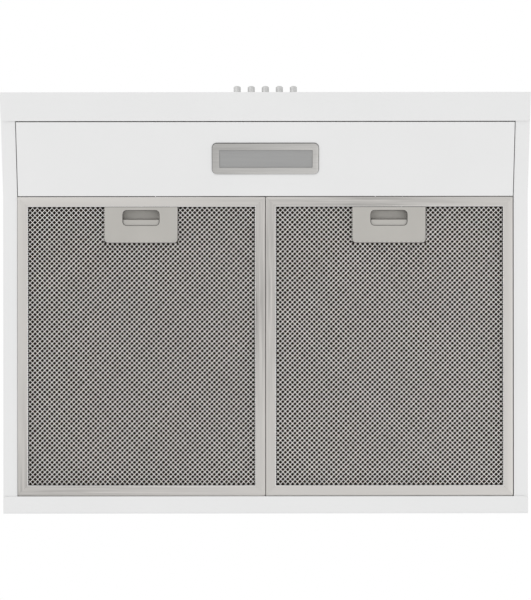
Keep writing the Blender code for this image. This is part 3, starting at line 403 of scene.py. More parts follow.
def galvanised():
    """Zinc spangle: flat crystals of slightly different grey."""
    made = Finish("galvanised_sheet", 0.42, 1.0)
    cells = made.node("TexVoronoi", [("Vector", made.coordinates)], in_scale=190)
    grey = made.node("SeparateColor", [("Color", cells.outputs["Color"])]).outputs["Red"]
    tone = made.mixed(grey, made.noise(40, 3), 0.4)
    made.colour(made.ramp(tone, (0.2, (0.40, 0.41, 0.42)), (0.8, (0.58, 0.59, 0.60))))
    made.rough(made.ranged(grey, 0.34, 0.54))
    made.bump(made.noise(500, 2), 0.00003, 0.4)
    return made.material


def plated_steel(name, dark, light):
    """Plated or blackened steel with fine scratches."""
    made = Finish(name, 0.28, 1.0)
    scratches = made.noise(1, 4, 0.7, made.stretched((900, 120, 300), 0.4))
    made.colour(made.ramp(scratches, (0.3, dark), (0.7, light)))
    made.rough(made.ranged(scratches, 0.22, 0.38, 0.3, 0.7))
    made.bump(scratches, 0.00001, 0.5)
    return made.material


def circuit_board():
    """White solder mask with faint copper tracks under it."""
    made = Finish("white_circuit_board", 0.45)
    tracks = made.node("TexBrick", [("Vector", made.stretched((1, 1, 1)))], in_scale=60)
    made.colour(made.ramp(tracks.outputs["Fac"], (0.0, (0.74, 0.75, 0.71)), (1.0, (0.62, 0.64, 0.58))))
    made.bump(made.noise(900, 2), 0.00002, 0.5)
    return made.material


def rubber():
    made = Finish("black_rubber", 0.75)
    bloom = made.noise(120, 4)
    made.colour(made.ramp(bloom, (0.3, (0.025, 0.025, 0.026)), (0.75, (0.055, 0.054, 0.053))))
    made.rough(made.ranged(bloom, 0.68, 0.86, 0.3, 0.7))
    made.bump(made.noise(1600, 3), 0.00004, 0.6)
    return made.material


def floor_material():
    made = Finish("pale_floor", 0.7)
    made.colour(made.ramp(made.noise(2, 3), (0.3, (0.85, 0.85, 0.85)), (0.7, (0.87, 0.87, 0.87))))
    return made.material


FINISHES = {
    "white_paint": white_paint(),
    "brushed_steel": brushed_bezel(),
    # The bars along X get a lighter base than those along Y: painted reflection, as the brushing catches the
    # light differently.
    "aluminium_frame": aluminium("aluminium_along_x", "X", (0.653, 0.633, 0.607)),
    "aluminium_frame_y": aluminium("aluminium_along_y", "Y"),
    "aluminium_painted_highlight": painted_highlight_edge(),
    "aluminium_mesh": strand_metal("foil_strands", (1.0, 0.980, 0.956)),
    # The inner and deep layers are the same foil painted dark: painted shade between the strands.
    "shaded_inner_mesh": strand_metal("painted_shade_inner_strands", (0.040, 0.031, 0.024)),
    "shaded_deep_mesh": strand_metal("painted_shade_deep_layers", (0.011, 0.009, 0.0075), 0.6),
    # Matte near-black that stands for shadow: painted shadow in gaps and round edges.
    "painted_shadow": moulded("painted_shadow_matte", (0.035, 0.035, 0.034), 0.8, 2600, 0.00006),
    "grey_plastic": moulded("warm_grey_plastic", (0.463, 0.447, 0.418)),
    # Painted shadow for the corner between the latch's web and the pocket floor.
    "painted_web_shadow": moulded("painted_web_shadow_matte", (0.128, 0.121, 0.109), 0.9, 2600, 0.00008),
    # Painted shadow round the inside of the handle's pocket.
    "shadow_trim": moulded("painted_shadow_trim", (0.030, 0.028, 0.026), 0.7),
    "chrome": satin_chrome(),
    "lens": frosted_lens(),
    "black_plastic": moulded("black_plastic", (0.030, 0.030, 0.031), 0.48),
    "white_plastic": moulded("white_plastic", (0.72, 0.72, 0.70), 0.45),
    "galvanised": galvanised(),
    "steel": plated_steel("zinc_plated_steel", (0.50, 0.50, 0.50), (0.66, 0.66, 0.65)),
    "spring_steel": plated_steel("blackened_spring_steel", (0.040, 0.040, 0.042), (0.060, 0.060, 0.061)),
    "circuit_board": circuit_board(),
    "grey_cable": moulded("grey_sheath", (0.20, 0.20, 0.21), 0.5, 2200),
    "rubber": rubber(),
}


# Pieces


def body_of(node):
    return frame["nodes"][node]["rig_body"]


def add_piece(name, mesh, slot, replaced, *finishes):
    """A mesh in the row's frame as a piece: it rides where the nodes that it replaces do."""
    obj = bpy.data.objects.new(name, mesh)
    bpy.context.scene.collection.objects.link(obj)
    for finish in finishes or (slot,):
        mesh.materials.append(FINISHES[finish])
    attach(obj, body_of(replaced[0]))
    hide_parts(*replaced)
    return obj


def mesh_from(name, vertices, faces, smooth_deg=None):
    mesh = bpy.data.meshes.new(name)
    mesh.from_pydata(vertices, [], faces)
    mesh.validate()
    if smooth_deg is not None:
        mesh.shade_smooth()
        mesh.set_sharp_from_angle(angle=math.radians(smooth_deg))
    return mesh


def merged(name, meshes, smooth_deg=None):
    """Several (vertices, faces, material indices) shapes in one mesh."""
    vertices = []
    faces = []
    slots = []
    for points, polygons, indices in meshes:
        start = len(vertices)
        vertices += points
        faces += [[start + i for i in polygon] for polygon in polygons]
        slots += indices
    mesh = bpy.data.meshes.new(name)
    mesh.from_pydata(vertices, [], faces)
    mesh.polygons.foreach_set("material_index", slots)
    if smooth_deg is not None:
        mesh.shade_smooth()
        mesh.set_sharp_from_angle(angle=math.radians(smooth_deg))
    return mesh


def softened(node, edge, change=None):
    """The CAD node with its sheet edges rounded by edge metres and its bends shaded smooth, as a piece."""
    original = frame["nodes"][node]
    bm = bmesh.new()
    bm.from_mesh(original.data)
    bmesh.ops.remove_doubles(bm, verts=bm.verts, dist=WELD)
    if change:
        for vertex in bm.verts:
            vertex.co = change(vertex.co)
    bmesh.ops.dissolve_limit(bm, angle_limit=math.radians(FLAT_DEG), verts=bm.verts, edges=bm.edges)
    limit = math.radians(BEVEL_DEG)
    sharp = [e for e in bm.edges if len(e.link_faces) == 2 and e.calc_face_angle() > limit]
    shape = {"offset_type": "OFFSET", "segments": 2, "profile": 0.5, "affect": "EDGES", "clamp_overlap": True}
    bmesh.ops.bevel(bm, geom=sharp, offset=edge, **shape)
    mesh = bpy.data.meshes.new(node + "_finished")
    bm.to_mesh(mesh)
    bm.free()
    mesh.shade_smooth()
    mesh.set_sharp_from_angle(angle=math.radians(SHADE_DEG))
    entry = next(part for part in frame["record"]["subparts"] if part["node"] == node)
    piece = add_piece(node + "_finished", mesh, entry["material_slot"], [node])
    normals = piece.modifiers.new("Flat faces stay flat", "WEIGHTED_NORMAL")
    normals.keep_sharp = True


def arc(centre, radius, start_deg, end_deg, steps):
    angles = [math.radians(start_deg + (end_deg - start_deg) * i / steps) for i in range(steps + 1)]
    return [(centre[0] + radius * math.cos(a), centre[1] + radius * math.sin(a)) for a in angles]


def rounded_rectangle(size, radius, steps=8):
    """Points anticlockwise round a rectangle about the origin."""
    x = size[0] / 2 - radius
    y = size[1] / 2 - radius
    points = []
    for i, (cx, cy) in enumerate(((x, y), (-x, y), (-x, -y), (x, -y))):
        points += arc((cx, cy), radius, 90 * i, 90 * i + 90, steps)
    return points


def moved(points, shift):
    return [(x + shift[0], y + shift[1]) for x, y in points]


def turned(profile, segments):
    """Vertices and faces of a profile of (radius, height), both ends on the axis, turned about Z."""
    vertices = []
    rings = []
    for radius, height in profile:
        if radius < 1e-7:
            rings.append([len(vertices)])
            vertices.append((0, 0, height))
            continue
        rings.append(list(range(len(vertices), len(vertices) + segments)))
        for i in range(segments):
            angle = 2 * math.pi * i / segments
            vertices.append((radius * math.cos(angle), radius * math.sin(angle), height))
    faces = []
    for above, below in zip(rings, rings[1:]):
        for i in range(segments):
            j = (i + 1) % segments
            if len(above) == 1:
                faces.append((above[0], below[i], below[j]))
            elif len(below) == 1:
                faces.append((above[j], above[i], below[0]))
            else:
                faces.append((above[j], above[i], below[i], below[j]))
    return vertices, faces


def lofted_loops(loops):
    """Closed loops of equal length, joined each to the next and the last to the first."""
    count = len(loops[0])
    vertices = [point for loop in loops for point in loop]
    faces = []
    for k in range(len(loops)):
        a = k * count
        b = (k + 1) % len(loops) * count
        for i in range(count):
            j = (i + 1) % count
            faces.append((a + i, a + j, b + j, b + i))
    return vertices, faces


# Grease filters


def frame_profile(height, bar=BAR):
    """A folded channel's cross-section as (distance in from the outer edge, height): floor, web and top."""
    sheet = FRAME_SHEET
    corner = 0.0005
    hem = 0.0006
    outside = [(BAR - 0.0002, height), *arc((corner, height - corner), corner, 90, 180, 4)]
    outside += arc((corner, corner), corner, 180, 270, 5)
    outside += [(bar - 0.0014, 0.0), *arc((bar - hem, hem), hem, 270, 360, 4)]
    outside += [(bar - 0.0003, sheet + 0.0003), (bar - 0.0016, sheet + 0.00015)]
    inside = [(0.0012, sheet), (0.0010, sheet + 0.0003), (0.0010, height - sheet - 0.0003)]
    inside += [(0.0012, height - sheet), (BAR - 0.0002, height - sheet)]
    return outside + inside


def notched_profiles(height, depth, reach):
    """The channel where the catch enters: a low web on the floor, and the rest of the top."""
    full = frame_profile(height)
    low_web = [(u, min(z, height - depth)) for u, z in full if z < height - FRAME_SHEET - 0.0001]
    under = height - FRAME_SHEET
    strip = [(BAR - 0.0002, height), (reach, height), (reach, under), (BAR - 0.0002, under)]
    return low_web, strip


def frame_bar(start, end, inward, profile, z_low, mitres=(True, True), finish=0):
    """A bar between two points of the outer edge, each end mitred or square; its rolled edge gets the painted
    highlight.
    """
    along = (end - start).normalized()
    vertices = []
    for u, z in profile:
        for place, way, mitred in ((start, along, mitres[0]), (end, -along, mitres[1])):
            point = place + inward * u + way * ((u + MITRE_GAP / 2) if mitred else 0)
            vertices.append((point.x, point.y, z_low + z))
    count = len(profile)
    faces = [(2 * i, 2 * i + 1, 2 * ((i + 1) % count) + 1, 2 * ((i + 1) % count)) for i in range(count)]
    slots = [finish] * count
    hem_start = max(u for u, z in profile) - HEM
    for i, (u, z) in enumerate(profile):
        following = profile[(i + 1) % count]
        if min(u, following[0]) > hem_start and max(z, following[1]) < HEM_HEIGHT:
            # The faces of the rolled edge take the painted highlight finish.
            slots[i] = 2
    faces.append([2 * i for i in range(count)][::-1])
    faces.append([2 * i + 1 for i in range(count)])
    return vertices, faces, slots + [finish, finish]


def box_shape(low, high):
    x, y, z = zip(low, high)
    vertices = [(x[i], y[j], z[k]) for k in (0, 1) for j in (0, 1) for i in (0, 1)]
    faces = [(0, 2, 3, 1), (4, 5, 7, 6), (0, 1, 5, 4), (1, 3, 7, 5), (3, 2, 6, 7), (2, 0, 4, 6)]
    return vertices, faces, [0] * 6


def make_filter_frame(side):
    node = "filter_frame_" + side
    low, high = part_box(node)
    rear = high.y - LUG_REACH
    height = high.z - low.z
    reach = SIDE_REACH[side]
    left = low.x - reach[0]
    front = low.y + FRONT_STEP[side]
    right = high.x + reach[1]
    profile = frame_profile(height)
    right_profile = frame_profile(height, BAR + reach[1])
    left_profile = frame_profile(height, BAR + reach[0])
    profiles = {1: right_profile, 2: profile, 3: left_profile}
    corners = [Vector((left, front)), Vector((right, front)), Vector((right, rear)), Vector((left, rear))]
    shapes = []
    for i, corner in enumerate(corners[1:], 1):
        following = corners[(i + 1) % 4]
        along = (following - corner).normalized()
        inward = Vector((-along.y, along.x))
        shapes.append(frame_bar(corner, following, inward, profiles[i], low.z, finish=i % 2))
    catch_low, catch_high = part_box("filter_catch_" + side)
    middle = (catch_low.x + catch_high.x) / 2
    edges = [Vector((middle - CATCH_NOTCH_HALF, front)), Vector((middle + CATCH_NOTCH_HALF, front))]
    inward = Vector((0, 1))
    shapes.append(frame_bar(corners[0], edges[0], inward, profile, low.z, (True, False)))
    shapes.append(frame_bar(edges[1], corners[1], inward, profile, low.z, (False, True)))
    for part in notched_profiles(height, CATCH_NOTCH_DEPTH, CATCH_NOTCH_REACH):
        shapes.append(frame_bar(edges[0], edges[1], inward, part, low.z, (False, False)))
    tongue_low = (left + 0.0004, rear - 0.001, low.z + 0.0025)
    shapes.append(box_shape(tongue_low, (right - 0.0004, rear + REAR_TONGUE[side], tongue_low[2] + 0.001)))
    mesh = merged(node, shapes, 40)
    finishes = ("aluminium_frame", "aluminium_frame_y", "aluminium_painted_highlight")
    make_shadow_strip(side, (low.x + BAR, front + BAR, high.x - BAR, rear - BAR), low.z)
    add_piece("filter_channel_" + side, mesh, "aluminium_frame", [node], *finishes)


def make_shadow_strip(side, window, z):
    """A dark strip of painted shadow at the edge of the mesh pack, all round the window and just under the
    face layer.
    """
    size = (window[2] - window[0], window[3] - window[1])
    inner_size = (size[0] - 2 * SHADOW_STRIP_WIDTH, size[1] - 2 * SHADOW_STRIP_WIDTH)
    centre = ((window[0] + window[2]) / 2, (window[1] + window[3]) / 2)
    outer = moved(rounded_rectangle(size, 0.0003, 2), centre)
    inner = moved(rounded_rectangle(inner_size, 0.0002, 2), centre)
    loops = []
    for outline, up in ((outer, 0.0007), (inner, 0.0007), (inner, 0.0011), (outer, 0.0011)):
        loops.append([(x, y, z + up) for x, y in outline])
    mesh = mesh_from("filter_shadow_strip_" + side, *lofted_loops(loops), smooth_deg=40)
    add_piece("filter_shadow_strip_" + side, mesh, "aluminium_frame", ["filter_frame_" + side], "painted_shadow")


def clipped(point, way, rect):
    """The stretch of the line point + t way inside a rectangle (low x, low y, high x, high y), or None."""
    start = -10.0
    end = 10.0
    for axis in (0, 1):
        low = (rect[axis] - point[axis]) / way[axis]
        high = (rect[axis + 2] - point[axis]) / way[axis]
        start = max(start, min(low, high))
        end = min(end, max(low, high))
    return (start, end) if end - start > 1e-6 else None


def strand_runs(rect, bite, centre, angle, pitch):
    """(index, start point, way, from, to) of each strand of one family, inside rect and outside bite."""
    way = Vector((math.cos(angle), math.sin(angle)))
    across = Vector((-way.y, way.x))
    reach = math.hypot(rect[2] - rect[0], rect[3] - rect[1]) / 2
    runs = []
    for k in range(-int(reach / pitch) - 1, int(reach / pitch) + 2):
        point = centre + across * (k * pitch)
        whole = clipped(point, way, rect)
        if not whole:
            continue
        hole = clipped(point, way, bite)
        parts = [whole]
        if hole and hole[0] < whole[1] and hole[1] > whole[0]:
            parts = [(whole[0], hole[0]), (hole[1], whole[1])]
        runs += [(k, point, way, start, end) for start, end in parts if end - start > pitch / 2]
    return runs


def lattice(rect, bite, z, seed, angle_deg, pitch, width, height, weave, scatter, stride):
    """Two families of strands at right angles, each a four-sided rod that passes over and under the other."""
    generator = random.Random(seed)
    centre = Vector(((rect[0] + rect[2]) / 2, (rect[1] + rect[3]) / 2))
    vertices = []
    faces = []
    for family in (0, 1):
        turn = math.radians(angle_deg) + family * math.pi / 2
        for k, point, way, start, end in strand_runs(rect, bite, centre, turn, pitch):
            across = Vector((-way.y, way.x))
            half = width / 2 * generator.uniform(0.94, 1.07)
            lift = generator.uniform(-0.00008, 0.00008)
            slide = generator.uniform(-scatter, scatter) * pitch
            first = math.ceil(start / pitch)
            last = math.floor(end / pitch)
            stops = [(start, 0.0)]
            stops += [(j * pitch, weave * (-1) ** (j + k + family)) for j in range(first, last + 1, stride)]
            stops.append((end, 0.0))
            base = len(vertices)
            for t, rise in stops:
                middle = point + way * t + across * (slide + generator.uniform(-0.02, 0.02) * pitch)
                level = z + lift + rise
                vertices.append((middle.x - across.x * half, middle.y - across.y * half, level))
                vertices.append((middle.x, middle.y, level - height / 2))
                vertices.append((middle.x + across.x * half, middle.y + across.y * half, level))
                vertices.append((middle.x, middle.y, level + height / 2))
            for i in range(len(stops) - 1):
                a = base + 4 * i
                for side in range(4):
                    b = a + (side + 1) % 4
                    faces.append((a + side, b, b + 4, a + side + 4))
            faces.append((base + 3, base + 2, base + 1, base))
            end_ring = base + 4 * (len(stops) - 1)
            faces.append((end_ring, end_ring + 1, end_ring + 2, end_ring + 3))
    return vertices, faces


def make_filter_mesh(side, seed):
    """The filter's layers of strands, from the face inwards. None runs into the handle's cup."""
    node = "filter_mesh_" + side
    frame_low, frame_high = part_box("filter_frame_" + side)
    rear = frame_high.y - LUG_REACH
    rect = (frame_low.x + MESH_EDGE, frame_low.y + MESH_EDGE, frame_high.x - MESH_EDGE, rear - MESH_EDGE)
    cup_low, cup_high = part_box("filter_handle_" + side)
    latch_low, latch_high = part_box("latch_slider_" + side)
    front = rect[1] - 0.01
    bite = (latch_low.x - CUP_MARGIN, front, latch_high.x + CUP_MARGIN, cup_high.y - CUP_OVERLAP)
    plate_right = cup_high.x + HANDLE_SHIFT + PLATE_MARGIN
    plate_bite = (cup_low.x - PLATE_MARGIN, front, plate_right, cup_high.y + PLATE_MARGIN)
    bottom = frame_low.z + MESH_UP
    top = frame_high.z - MESH_DOWN

    def add_layer(layer, hole, z, number, kind, finish):
        name = f"filter_mesh_{layer}_{side}"
        shape = lattice(rect, hole, z, seed + number, *kind)
        add_piece(name, mesh_from(name, *shape, smooth_deg=60), "aluminium_mesh", [node], finish)

    # angle, pitch, width, height, weave, scatter (shares of the pitch) and stride (crossings for each point)
    face = (WOVEN_DEG, STRAND_PITCH, STRAND_WIDTH, STRAND_HEIGHT, WEAVE, WOVEN_SCATTER, 1)
    back = (WOVEN_DEG, STRAND_PITCH, STRAND_WIDTH, STRAND_HEIGHT, WEAVE, BACK_SCATTER, 1)
    second = (66, 0.0043, 0.0009, 0.0004, 0.0, 0.1, 4)
    third = (20, 0.0047, 0.0010, 0.0004, 0.0, 0.1, 4)
    add_layer("face", plate_bite, bottom, 1, face, "aluminium_mesh")
    # The second and third layers take the foil painted dark as shade.
    add_layer("second", bite, bottom + SECOND_UP, 2, second, "shaded_inner_mesh")
    add_layer("third", bite, bottom + THIRD_UP, 3, third, "shaded_inner_mesh")
    make_filter_core(side, rect, bite, bottom + CORE_UP, node)
    add_layer("back", bite, top, 4, back, "aluminium_mesh")


def make_filter_core(side, rect, bite, z, node):
    """The crumpled inner layers, painted near black as the shade seen between the strands."""
    bm = bmesh.new()
    columns = round((rect[2] - rect[0]) / CORE_STEP)
    rows = round((rect[3] - rect[1]) / CORE_STEP)
    generator = random.Random(CORE_SEED[side])
    grid = {}
    for i in range(columns + 1):
        for j in range(rows + 1):
            x = rect[0] + (rect[2] - rect[0]) * i / columns
            y = rect[1] + (rect[3] - rect[1]) * j / rows
            if bite[0] < x < bite[2] and y < bite[3]:
                continue
            dip = 0.0006 * ((i + j) % 2) + generator.uniform(-0.0002, 0.0002)
            grid[i, j] = bm.verts.new((x, y, z + dip))
    for i, j in list(grid):
        ring = [grid.get(key) for key in ((i, j), (i, j + 1), (i + 1, j + 1), (i + 1, j))]
        if all(ring):
            bm.faces.new(ring)
    mesh = bpy.data.meshes.new("filter_mesh_core_" + side)
    bm.to_mesh(mesh)
    bm.free()
    core = add_piece("filter_mesh_core_" + side, mesh, "aluminium_mesh", [node], "shaded_deep_mesh")
    solidify = core.modifiers.new("Layers", "SOLIDIFY")
    solidify.thickness = CORE_THICKNESS
    solidify.offset = -1


# Lamp


def panel_matrix():
    """The light panel's own frame, from the middle of the lens: local Z is square to the panel."""
    low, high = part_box("lamp_lens")
    turn = Matrix.Rotation(PANEL_TILT, 4, "X")
    return Matrix.Translation((low + high) / 2) @ turn @ Matrix.Translation((0, 0, -LENS_MIDDLE))


def panel_ring(name, outer, inner, profile, slot, replaced, finish):
    """A closed ring between two outlines, from a profile of (share of the way in, height over the panel)."""
    place = panel_matrix()
    loops = []
    for share, z in profile:
        loop = [(a[0] + (b[0] - a[0]) * share, a[1] + (b[1] - a[1]) * share, z) for a, b in zip(outer, inner)]
        loops.append([tuple(place @ Vector(point)) for point in loop])
    vertices, faces = lofted_loops(loops)
    mesh = mesh_from(name, vertices, faces, 40)
    add_piece(name, mesh, slot, replaced, finish)


def make_bezel():
    """A pressed frame with a crisp outer edge and a turned-in lip over the lens, on a dark ring of painted
    shadow.
    """
    outer = moved(rounded_rectangle(BEZEL_SIZE, BEZEL_RADIUS, 10), BEZEL_SHIFT)
    inner = moved(rounded_rectangle(BEZEL_HOLE, BEZEL_HOLE_RADIUS, 10), BEZEL_HOLE_SHIFT)
    face = -BEZEL_STEP
    width = (BEZEL_SIZE[1] - BEZEL_HOLE[1]) / 2
    edge = BEZEL_EDGE
    profile = [(0.0, -0.0003)]
    profile += [((edge - u) / width, face + edge - v) for u, v in arc((0, 0), edge, 0, 90, 3)]
    profile += [((width - edge + u) / width, face + edge - v) for u, v in arc((0, 0), edge, 90, 0, 3)]
    profile += [(1.0, face + BEZEL_LIP), (0.94, face + BEZEL_LIP)]
    profile += [(0.94, BEZEL_NECK), (0.885, BEZEL_NECK), (0.885, -0.0003)]
    panel_ring("bezel_frame", outer, inner, profile, "brushed_steel", ["lamp_bezel"], "brushed_steel")
    # A dark ring of painted shadow round the bezel, wider towards the front.
    shadow_ring_size = (BEZEL_SIZE[0] + 2 * SHADOW_RING_REACH, BEZEL_SIZE[1] + 2 * SHADOW_RING_REACH)
    shadow_ring_outer = moved(rounded_rectangle(shadow_ring_size, BEZEL_RADIUS + SHADOW_RING_REACH, 10), SHADOW_RING_SHIFT)
    profile = [(0.0, -0.00005), (0.0, -0.0006), (0.9, -0.0006), (0.9, -0.00005)]
    panel_ring("bezel_shadow_ring", shadow_ring_outer, outer, profile, "brushed_steel", ["lamp_bezel"], "painted_shadow")


def make_lens():
    """The diffuser behind the bezel's lip, with a thinner rim."""
    place = panel_matrix()
    loops = []
    for inset, z in ((0.0, 0.0018), (0.0, 0.0001), (0.0001, 0.0), (0.0026, 0.0), (0.0030, 0.00015)):
        size = (LENS_SIZE[0] - 2 * inset, LENS_SIZE[1] - 2 * inset)
        outline = moved(rounded_rectangle(size, max(LENS_RADIUS - inset, 0.0002), 4), BEZEL_HOLE_SHIFT)
        loops.append([tuple(place @ Vector((x, y, z))) for x, y in outline])
    vertices, faces = lofted_loops(loops)
    count = len(loops[0])
    faces = faces[:-count]
    faces.append(tuple(range(count))[::-1])
    faces.append(tuple(range(len(vertices) - count, len(vertices))))
    add_piece("lens_diffuser", mesh_from("lens_diffuser", vertices, faces, 40), "lens", ["lamp_lens"])


# Buttons


def make_button(node):
    """A flat cap with a soft shoulder, its skirt, the stop flange behind the panel and the stem."""
    low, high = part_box(node)
    radius = BUTTON_RADIUS
    reach = BUTTON_REACH - BUTTON_TRIM
    flange = BUTTON_FLANGE_RADIUS
    stem = BUTTON_STEM_RADIUS
    profile = [(0, reach), (0.0021, reach), (0.0024, reach - 0.0001), (0.0038, reach - 0.0011)]
    profile += [(radius, reach - 0.0015), (radius, 0.0005), (radius, -0.0014), (flange, -0.0014)]
    profile += [(flange, -0.0026), (radius, -0.0026), (radius, -0.006), (stem, -0.006)]
    profile += [(stem, BUTTON_STEM_END + 0.0002), (stem - 0.0004, BUTTON_STEM_END), (0, BUTTON_STEM_END)]
    vertices, faces = turned(profile, 40)
    centre = ((low.x + high.x) / 2, low.y + BUTTON_REACH, (low.z + high.z) / 2)
    place = Matrix.Translation(centre) @ Matrix.Rotation(math.pi / 2, 4, "X")
    vertices = [tuple(place @ Vector(point)) for point in vertices]
    mesh = mesh_from(node + "_cap", vertices, faces, 30)
    add_piece(node + "_cap", mesh, "chrome", [node])


# Panels


def tightened(centre, old, new, toward):
    """A change for softened(): a bend along X of radius old about centre (y, z) gets radius new."""

    def change(point):
        offset = Vector((point.y - centre[0], point.z - centre[1]))
        distance = offset.length
        if not old - 0.0014 < distance < old + 0.0001 or offset.dot(Vector(toward)) < 0.3 * distance:
            return point
        shift = Vector(toward) * (old - new)
        place = Vector(centre) + shift + offset * ((new - old + distance) / distance)
        return Vector((point.x, place.x, max(place.y, centre[1] - old)))

    return change


def light_panel_change(point):
    """The rear edge comes closer to the filters, and the front edge stays a little further from the lip."""
    slope = Vector((0, math.cos(PANEL_TILT), math.sin(PANEL_TILT)))
    if point.y > LIGHT_PANEL_REAR:
        return point + slope * LIGHT_PANEL_STRETCH
    if point.y < LIGHT_PANEL_FRONT:
        return point + slope * LIGHT_PANEL_SHRINK
    return point


def make_gap_shadow_strip():
    """A dark strip of painted shadow over the slot in front of the filters, in three lengths that leave the
    catches free.
    """
    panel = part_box("light_panel")
    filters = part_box("filter_frame_left")
    catches = [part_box("filter_catch_" + side) for side in ("left", "right")]
    ends = [panel[0].x + PANEL_CLEARANCE]
    for low, high in catches:
        ends += [low.x - CATCH_CLEARANCE, high.x + CATCH_CLEARANCE]
    ends.append(panel[1].x - PANEL_CLEARANCE)
    rear = filters[0].y - GAP_SHADOW_CLEARANCE
    top = filters[1].z - GAP_SHADOW_CLEARANCE
    bottom = top - GAP_SHADOW_HEIGHT
    front = rear - GAP_SHADOW_DEPTH
    section = [(front, bottom), (rear - GAP_SHADOW_CHAMFER, bottom), (rear, bottom + GAP_SHADOW_CHAMFER)]
    section += [(rear, top - GAP_SHADOW_ROUND), (rear - GAP_SHADOW_ROUND, top), (front, top)]
    shapes = []
    for start, end in zip(ends[::2], ends[1::2]):
        points = [(x, y, z) for x in (start, end) for y, z in section]
        count = len(section)
        faces = [[i, count + i, count + (i + 1) % count, (i + 1) % count] for i in range(count)]
        faces += [list(range(count)), list(range(count, 2 * count))[::-1]]
        shapes.append((points, faces, [0] * len(faces)))
    add_piece("gap_shadow_strip", merged("gap_shadow_strip", shapes), "white_paint", ["light_panel"], "painted_shadow")


def make_panels():
    sine = math.sin(PANEL_TILT)
    cosine = math.cos(PANEL_TILT)
    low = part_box("top_front_panel")[0]
    centre = (low.y + LIP_RADIUS, low.z + LIP_RADIUS)
    toward = (-1, -(1 + sine) / cosine)
    softened("top_front_panel", PANEL_EDGE, tightened(centre, LIP_RADIUS, LIP_TIGHT, toward))
    softened("light_panel", PANEL_EDGE, light_panel_change)
    make_gap_shadow_strip()
    for name in ("side_panel_left", "side_panel_right", "back_panel"):
        softened(name, PANEL_EDGE)


# Handles


def handle_change(side):
    """The plate and its pocket are slightly narrower than the CAD's, and stand a little to the left."""
    low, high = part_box("filter_handle_" + side)
    middle = (low.x + high.x) / 2

    def change(point):
        across = point.x - middle
        if abs(across) > PLATE_HALF[0] - PLATE_CORNER:
            across *= PLATE_HALF[1] / PLATE_HALF[0]
        elif abs(across) < POCKET_HALF[0] + 0.00005:
            across *= POCKET_HALF[1] / POCKET_HALF[0]
        back = 0.0003 if point.y < low.y + 0.0005 else 0
        return Vector((middle + HANDLE_SHIFT + across, point.y + back, point.z))

    return change


def make_pocket_shadow_trim(side):
    """A thin strip of painted shadow just inside the pocket's edge."""
    low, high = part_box("filter_handle_" + side)
    size = (2 * POCKET_HALF[1], POCKET_LENGTH)
    inner_size = (size[0] - POCKET_SHADOW_WIDTHS[0], size[1] - POCKET_SHADOW_WIDTHS[1])
    centre = ((low.x + high.x) / 2 + HANDLE_SHIFT, low.y + POCKET_FRONT + size[1] / 2)
    outer = moved(rounded_rectangle(size, POCKET_RADIUS, 8), centre)
    inner = moved(rounded_rectangle(inner_size, POCKET_RADIUS - 0.0004, 8), centre)
    below, above = POCKET_SHADOW_HEIGHTS
    loops = []
    for outline, z in ((outer, below), (inner, below), (inner, above), (outer, above)):
        loops.append([(x, y, low.z + z) for x, y in outline])
    vertices, faces = lofted_loops(loops)
    mesh = mesh_from("pocket_shadow_trim_" + side, vertices, faces, 40)
    add_piece("pocket_shadow_trim_" + side, mesh, "grey_plastic", ["filter_handle_" + side], "shadow_trim")


def make_web_shadow_strip(side):
    """A dark strip of painted shadow on the front of the latch's web, where the finger pulls."""
    low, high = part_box("latch_slider_" + side)
    face = high.y - PAD_FROM_REAR
    middle = (low.x + high.x) / 2 + HANDLE_SHIFT
    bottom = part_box("filter_handle_" + side)[0].z + PAD_UP
    size = (high.x - low.x - PAD_CLEARANCE, high.z - PAD_CLEARANCE - bottom)
    loops = []
    for inset, y in ((0.0, -0.0001), (0.0, -0.0007), (0.0002, -0.0009)):
        outline = rounded_rectangle((size[0] - 2 * inset, size[1] - 2 * inset), 0.0008 - inset, 4)
        loops.append([(middle + u, face + y, bottom + size[1] / 2 + v) for u, v in outline])
    vertices, faces = lofted_loops(loops)
    count = len(loops[0])
    faces = faces[:-count] + [tuple(range(count))[::-1], tuple(range(2 * count, 3 * count))]
    mesh = mesh_from("latch_shadow_strip_" + side, vertices, faces, 40)
    add_piece("latch_shadow_strip_" + side, mesh, "grey_plastic", ["latch_slider_" + side], "painted_web_shadow")


def make_handles():
    for side in ("left", "right"):
        softened("filter_handle_" + side, HANDLE_EDGE, handle_change(side))
        softened("latch_slider_" + side, HANDLE_EDGE, lambda point: point + Vector((HANDLE_SHIFT, 0, 0)))
        make_pocket_shadow_trim(side)
        make_web_shadow_strip(side)


# Inside


